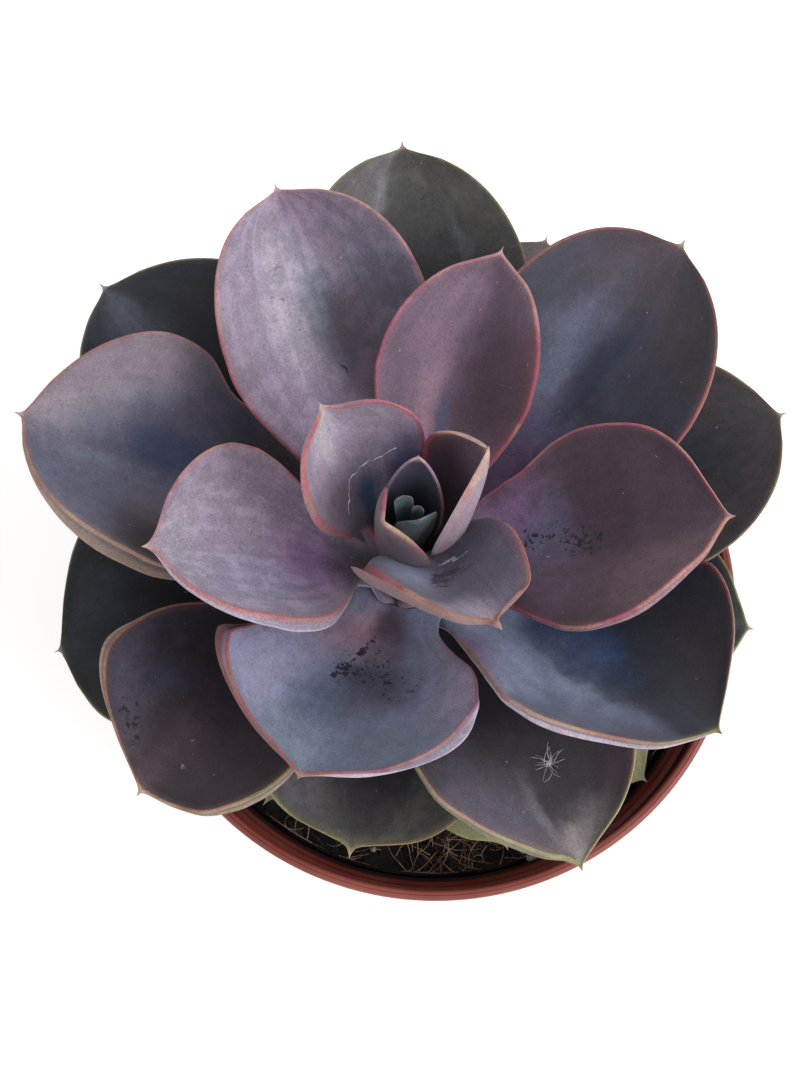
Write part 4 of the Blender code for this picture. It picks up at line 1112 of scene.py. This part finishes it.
coir = {
    "thick": {"tan": 0.095, "brown": 0.08}, "tanShare": 0.45, "points": 12, "seed": 5, "clear": 0.6,
    "beds": ((5, -46, 8, 3.5, 190), (-22, -45, 12, 5, 30), (22, -44, 9, 5, 18), (0, 0, 44, 44, 100)),
    "steps": (0.25, 0.95), "arches": (0.1, 2.0), "curl": 0.09, "wander": 0.13, "lift": 0.15, "taper": 0.5,
    "grain": (300.0, 3.0), "tan": ((0.28, 0.16, 0.11, 1), (0.50, 0.33, 0.24, 1)),
    "brown": ((0.04, 0.022, 0.016, 1), (0.10, 0.055, 0.04, 1)),
}  # a bed is x, y, their spreads and how many fibres


def coirLine(draw, x, y):
    heading = draw.uniform(0, 2 * math.pi)
    step, arch = draw.uniform(*coir["steps"]), draw.uniform(*coir["arches"])
    curl = draw.gauss(0, coir["curl"])
    wall = soilRadius() - coir["clear"]
    line = []
    for share in np.linspace(0, 1, coir["points"]):
        radius = math.hypot(x, y)
        if radius > wall:
            x, y = x * wall / radius, y * wall / radius
        z = soilTop(x, y) + coir["lift"] + arch * math.sin(math.pi * share)
        line.append(((x, y, z), 1.0 - coir["taper"] * share))
        heading += curl + draw.gauss(0, coir["wander"])
        x += step * math.cos(heading)
        y += step * math.sin(heading)
    return line


def makeFibres():
    draw = random.Random(coir["seed"])
    lines = {"tan": [], "brown": []}
    for bedX, bedY, spreadX, spreadY, count in coir["beds"]:
        for _ in range(count):
            line = coirLine(draw, draw.gauss(bedX, spreadX), draw.gauss(bedY, spreadY))
            lines["tan" if draw.random() < coir["tanShare"] else "brown"].append(line)
    for shade, some in lines.items():
        material, tree, shader, body = newMaterial("coir_" + shade, 0.75, 0.3)
        colour = tint(tree, rise(tree, grain(tree, body, *coir["grain"]), 0.35, 0.65), *coir[shade])
        feed(tree, shader.inputs["Base Color"], colour)
        threads("coirFibres_" + shade, some, material, "soil", coir["thick"][shade])
    print("fibres made:", sum(len(some) for some in lines.values()))


perlite = {
    "bits": ((19.5, -50.3, 1.3), (21.2, -48.6, 0.8), (17.6, -49.2, 0.6), (-12.0, -49.0, 0.5),
             (33.0, -40.0, 0.6)),  # x, y and size
    "rough": 0.35, "roughSize": 1.6, "lift": 0.3, "stretch": ((0.8, 1.2), (0.8, 1.1), (0.6, 0.8)), "seed": 3,
    "pitGrain": (1400.0, 3.0, 0.6), "bump": (0.6, 0.0003),
    "pits": (0.30, 0.28, 0.26, 1), "white": (0.62, 0.60, 0.58, 1),
}


def makePerlite():
    draw = random.Random(perlite["seed"])
    bm = bmesh.new()
    for x, y, size in perlite["bits"]:
        made = bmesh.ops.create_icosphere(bm, subdivisions=3, radius=size)
        for vert in made["verts"]:
            spot = vert.co * perlite["roughSize"] / size + Vector((x, y, 0))
            vert.co *= 1 + perlite["rough"] * noise.noise(spot)
        stretch = Vector([draw.uniform(*span) for span in perlite["stretch"]])
        bmesh.ops.scale(bm, vec=stretch, verts=made["verts"])
        spot = Vector((x, y, soilTop(x, y) + perlite["lift"] * size))
        bmesh.ops.translate(bm, vec=spot, verts=made["verts"])
    material, tree, shader, body = newMaterial("perliteGrain", 0.8, 0.3)
    pits = grain(tree, body, *perlite["pitGrain"])
    colour = tint(tree, rise(tree, pits, 0.4, 0.65), perlite["pits"], perlite["white"])
    feed(tree, shader.inputs["Base Color"], colour)
    bump(tree, shader, pits, *perlite["bump"])
    addPiece("perliteBits", toMetres(bm), material, "soil")
    print("perlite made")


# a dried thread on one leaf and a tuft of fluff on another; places are station, turn in degrees and lift

lint = {
    "threadLeaf": 4, "threadThick": 0.12, "threadPoints": 40, "threadTaper": (0.5, 1.3), "seed": 8,
    "thread": ((0.625, 126, 0.1), (0.61, 110, 0.25), (0.615, 99, 0.15), (0.605, 89, 0.3), (0.592, 80, 0.15),
               (0.53, 70, 0.25), (0.455, 55, 0.1)),
    "threadJitter": (0.003, 0.8), "tuftJitter": (0.006, 1.2),  # of station and turn
    "tuftLeaf": 15, "tuftThick": 0.05, "tuft": (0.662, 87.5, 0.2), "strands": 24, "reach": (1.2, 4.6),
    "strandPoints": 10, "headings": (0.9, 1.5), "curl": 0.8, "bow": 0.5, "climb": 0.25,
    "taper": 0.7, "grain": (900.0, 3.0), "grey": (0.34, 0.33, 0.36, 1), "white": (0.72, 0.70, 0.70, 1),
}


def skinPoint(number, station, degrees, lift):
    turn = np.radians([degrees, degrees, degrees + 1.0])
    spot, onward, beside = leafPoints(leafForm(number), np.array([station, station + 0.01, station]), turn)
    normal = np.cross(beside - spot, onward - spot)
    return spot + normal * math.copysign(lift, normal[2]) / np.linalg.norm(normal)


def threadLine(draw):
    places = np.array(lint["thread"])
    even, fine = np.linspace(0, 1, len(places)), np.linspace(0, 1, lint["threadPoints"])
    along, around = lint["threadJitter"]
    places = zip(*(eased(fine, even, column) for column in places.T))
    places = [(station + draw.gauss(0, along), turn + draw.gauss(0, around), lift)
              for station, turn, lift in places]
    return [(skinPoint(lint["threadLeaf"], *place), draw.uniform(*lint["threadTaper"])) for place in places]


def tuftStrand(draw):
    station, degrees, lift = lint["tuft"]
    along, around = lint["tuftJitter"]
    heading = draw.gauss(*lint["headings"])
    reach = draw.uniform(*lint["reach"]) / lint["strandPoints"]
    curl = draw.gauss(0, lint["curl"])
    here = skinPoint(lint["tuftLeaf"], station + draw.gauss(0, along), degrees + draw.gauss(0, around), lift)
    strand = []
    for share in np.linspace(0, 1, lint["strandPoints"]):
        turn = heading + curl * share
        bow = lint["bow"] * math.sin(math.pi * share)
        strand.append((here + np.array([0, 0, bow]), 1.0 - lint["taper"] * share))
        here = here + np.array([math.cos(turn), math.sin(turn), lint["climb"]]) * reach
    return strand


def makeLint():
    draw = random.Random(lint["seed"])
    material, tree, shader, body = newMaterial("dryLint", 0.8, 0.2)
    wisp = rise(tree, grain(tree, body, *lint["grain"]), 0.35, 0.65)
    feed(tree, shader.inputs["Base Color"], tint(tree, wisp, lint["grey"], lint["white"]))
    threads("lintThread", [threadLine(draw)], material, "leaf_inner", lint["threadThick"])
    strands = [tuftStrand(draw) for _ in range(lint["strands"])]
    threads("lintTuft", strands, material, "leaf_middle", lint["tuftThick"])
    print("lint made")


# stem

stem = {
    "foot": 66.0, "chamfer": 2.0, "steps": 72, "rings": 40, "domeRings": 14, "barkFrom": 4.0,
    "scarHeight": 3.2, "scarDepth": 0.35, "scars": 3, "bark": 0.25, "barkSize": 1.7, "shadedTop": (0.104, 0.112),
    "dryPaint": ((0.055, 0.034, 0.022, 1), (0.19, 0.13, 0.085, 1)),
    # the second pair is the dark plum top among the leaf feet: the leaves' own plum, darkened as painted
    # shade for the crevices between them
    "shadedTopPaint": ((0.045, 0.03, 0.05, 1), (0.09, 0.055, 0.09, 1)),
    "barkGrain": (380.0, 5.0, 0.65), "bump": (0.5, 0.0003),
}


def makeStem():
    radius, shoulder, top = (leafShape[name] for name in ("stemRadius", "stemShoulder", "stemTop"))
    foot = stem["foot"]
    column = [(radius, height) for height in np.linspace(foot + stem["chamfer"], shoulder, stem["rings"])]
    turns = np.linspace(0, math.pi / 2, stem["domeRings"])[1:-1]
    dome = [(radius * math.cos(turn), shoulder + (top - shoulder) * math.sin(turn)) for turn in turns]
    bm = spun([(0, foot), (radius - stem["chamfer"], foot)] + column + dome + [(0, top)], stem["steps"])
    for vert in bm.verts:
        out = Vector((vert.co.x, vert.co.y, 0.0))
        if out.length < 0.1 or not foot + stem["barkFrom"] < vert.co.z < shoulder:
            continue
        around = stem["scars"] * math.atan2(out.y, out.x)
        scar = math.sin(2 * math.pi * vert.co.z / stem["scarHeight"] + around) * math.cos(around + vert.co.z)
        bark = abs(noise.noise(vert.co / stem["barkSize"]))
        vert.co -= out.normalized() * (stem["scarDepth"] * max(0.0, scar) + stem["bark"] * bark)
    bmesh.ops.translate(bm, vec=(leafShape["plantX"], 0.0, 0.0), verts=bm.verts)
    material, tree, shader, body = newMaterial("stemBark", 0.75, 0.3)
    bark = grain(tree, body, *stem["barkGrain"])
    # above the shoulder's height the stem turns dark plum: the leaves' own plum, darkened as painted shade
    # for the crevices between the leaf feet
    dry, shadedTop = (tint(tree, rise(tree, bark, 0.35, 0.7), *stem[name]) for name in ("dryPaint", "shadedTopPaint"))
    height = addNode(tree, "SeparateXYZ", body).outputs[2]
    feed(tree, shader.inputs["Base Color"], tint(tree, rise(tree, height, *stem["shadedTop"]), dry, shadedTop))
    bump(tree, shader, bark, *stem["bump"])
    addPiece("stemBody", toMetres(bm), material, "stem", "stem")
    print("stem made")


# camera, light and floor

stage = {
    "aim": (-5.8, 3.45, 130.0), "distance": 290.0, "elevation": 73.0, "lens": 52.3, "sensor": 36.0,
    "clip": 0.01, "sky": 1.02, "keyPower": 4.8, "keyAt": (0.62, -0.30, 0.62), "keyAim": (0.0, 0.0, 0.12),
    "keySize": 0.55, "floorSize": 3.0, "floorColor": (0.97, 0.97, 0.97, 1.0), "floorGlow": 0.12,
}


def makeCamera(scene):
    tilt = math.radians(stage["elevation"])
    back = Vector((0.0, -math.cos(tilt), math.sin(tilt)))
    lens = bpy.data.cameras.new("camera")
    lens.lens, lens.sensor_width, lens.clip_start = stage["lens"], stage["sensor"], stage["clip"]
    camera = bpy.data.objects.new("camera", lens)
    camera.location = Vector(stage["aim"]) * mm + back * stage["distance"] * mm
    camera.rotation_euler = back.to_track_quat("Z", "Y").to_euler()
    scene.collection.objects.link(camera)
    scene.camera = camera


def makeLights(scene):
    world = bpy.data.worlds.new("softSky")
    world.use_nodes = True
    sky = world.node_tree.nodes["Background"]
    sky.inputs["Color"].default_value = (1.0, 1.0, 1.0, 1.0)
    sky.inputs["Strength"].default_value = stage["sky"]
    scene.world = world
    lamp = bpy.data.lights.new("softKey", "AREA")
    lamp.energy, lamp.size, lamp.shape = stage["keyPower"], stage["keySize"], "DISK"
    key = bpy.data.objects.new("softKey", lamp)
    key.location = Vector(stage["keyAt"])
    key.rotation_euler = (key.location - Vector(stage["keyAim"])).to_track_quat("Z", "Y").to_euler()
    scene.collection.objects.link(key)


def makeFloor(scene):
    grid = bmesh.new()
    bmesh.ops.create_grid(grid, x_segments=1, y_segments=1, size=stage["floorSize"] / 2)
    mesh = bpy.data.meshes.new("paleFloor")
    grid.to_mesh(mesh)
    grid.free()
    material, _, shader, _ = newMaterial("paleFloor", 0.9, 0.1)
    shader.inputs["Base Color"].default_value = stage["floorColor"]
    shader.inputs["Emission Color"].default_value = (1.0, 1.0, 1.0, 1.0)
    shader.inputs["Emission Strength"].default_value = stage["floorGlow"]
    mesh.materials.append(material)
    ground = bpy.data.objects.new("paleFloor", mesh)
    scene.collection.objects.link(ground)


def makeStage():
    scene = bpy.context.scene
    scene.view_settings.view_transform = "Standard"
    makeCamera(scene)
    makeLights(scene)
    makeFloor(scene)
    print("stage set")


makeStage()
makePot()
makeSoil()
makeFibres()
makePerlite()
makeLint()
makeStem()
makeLeaves()
makeHeart()

print("done")
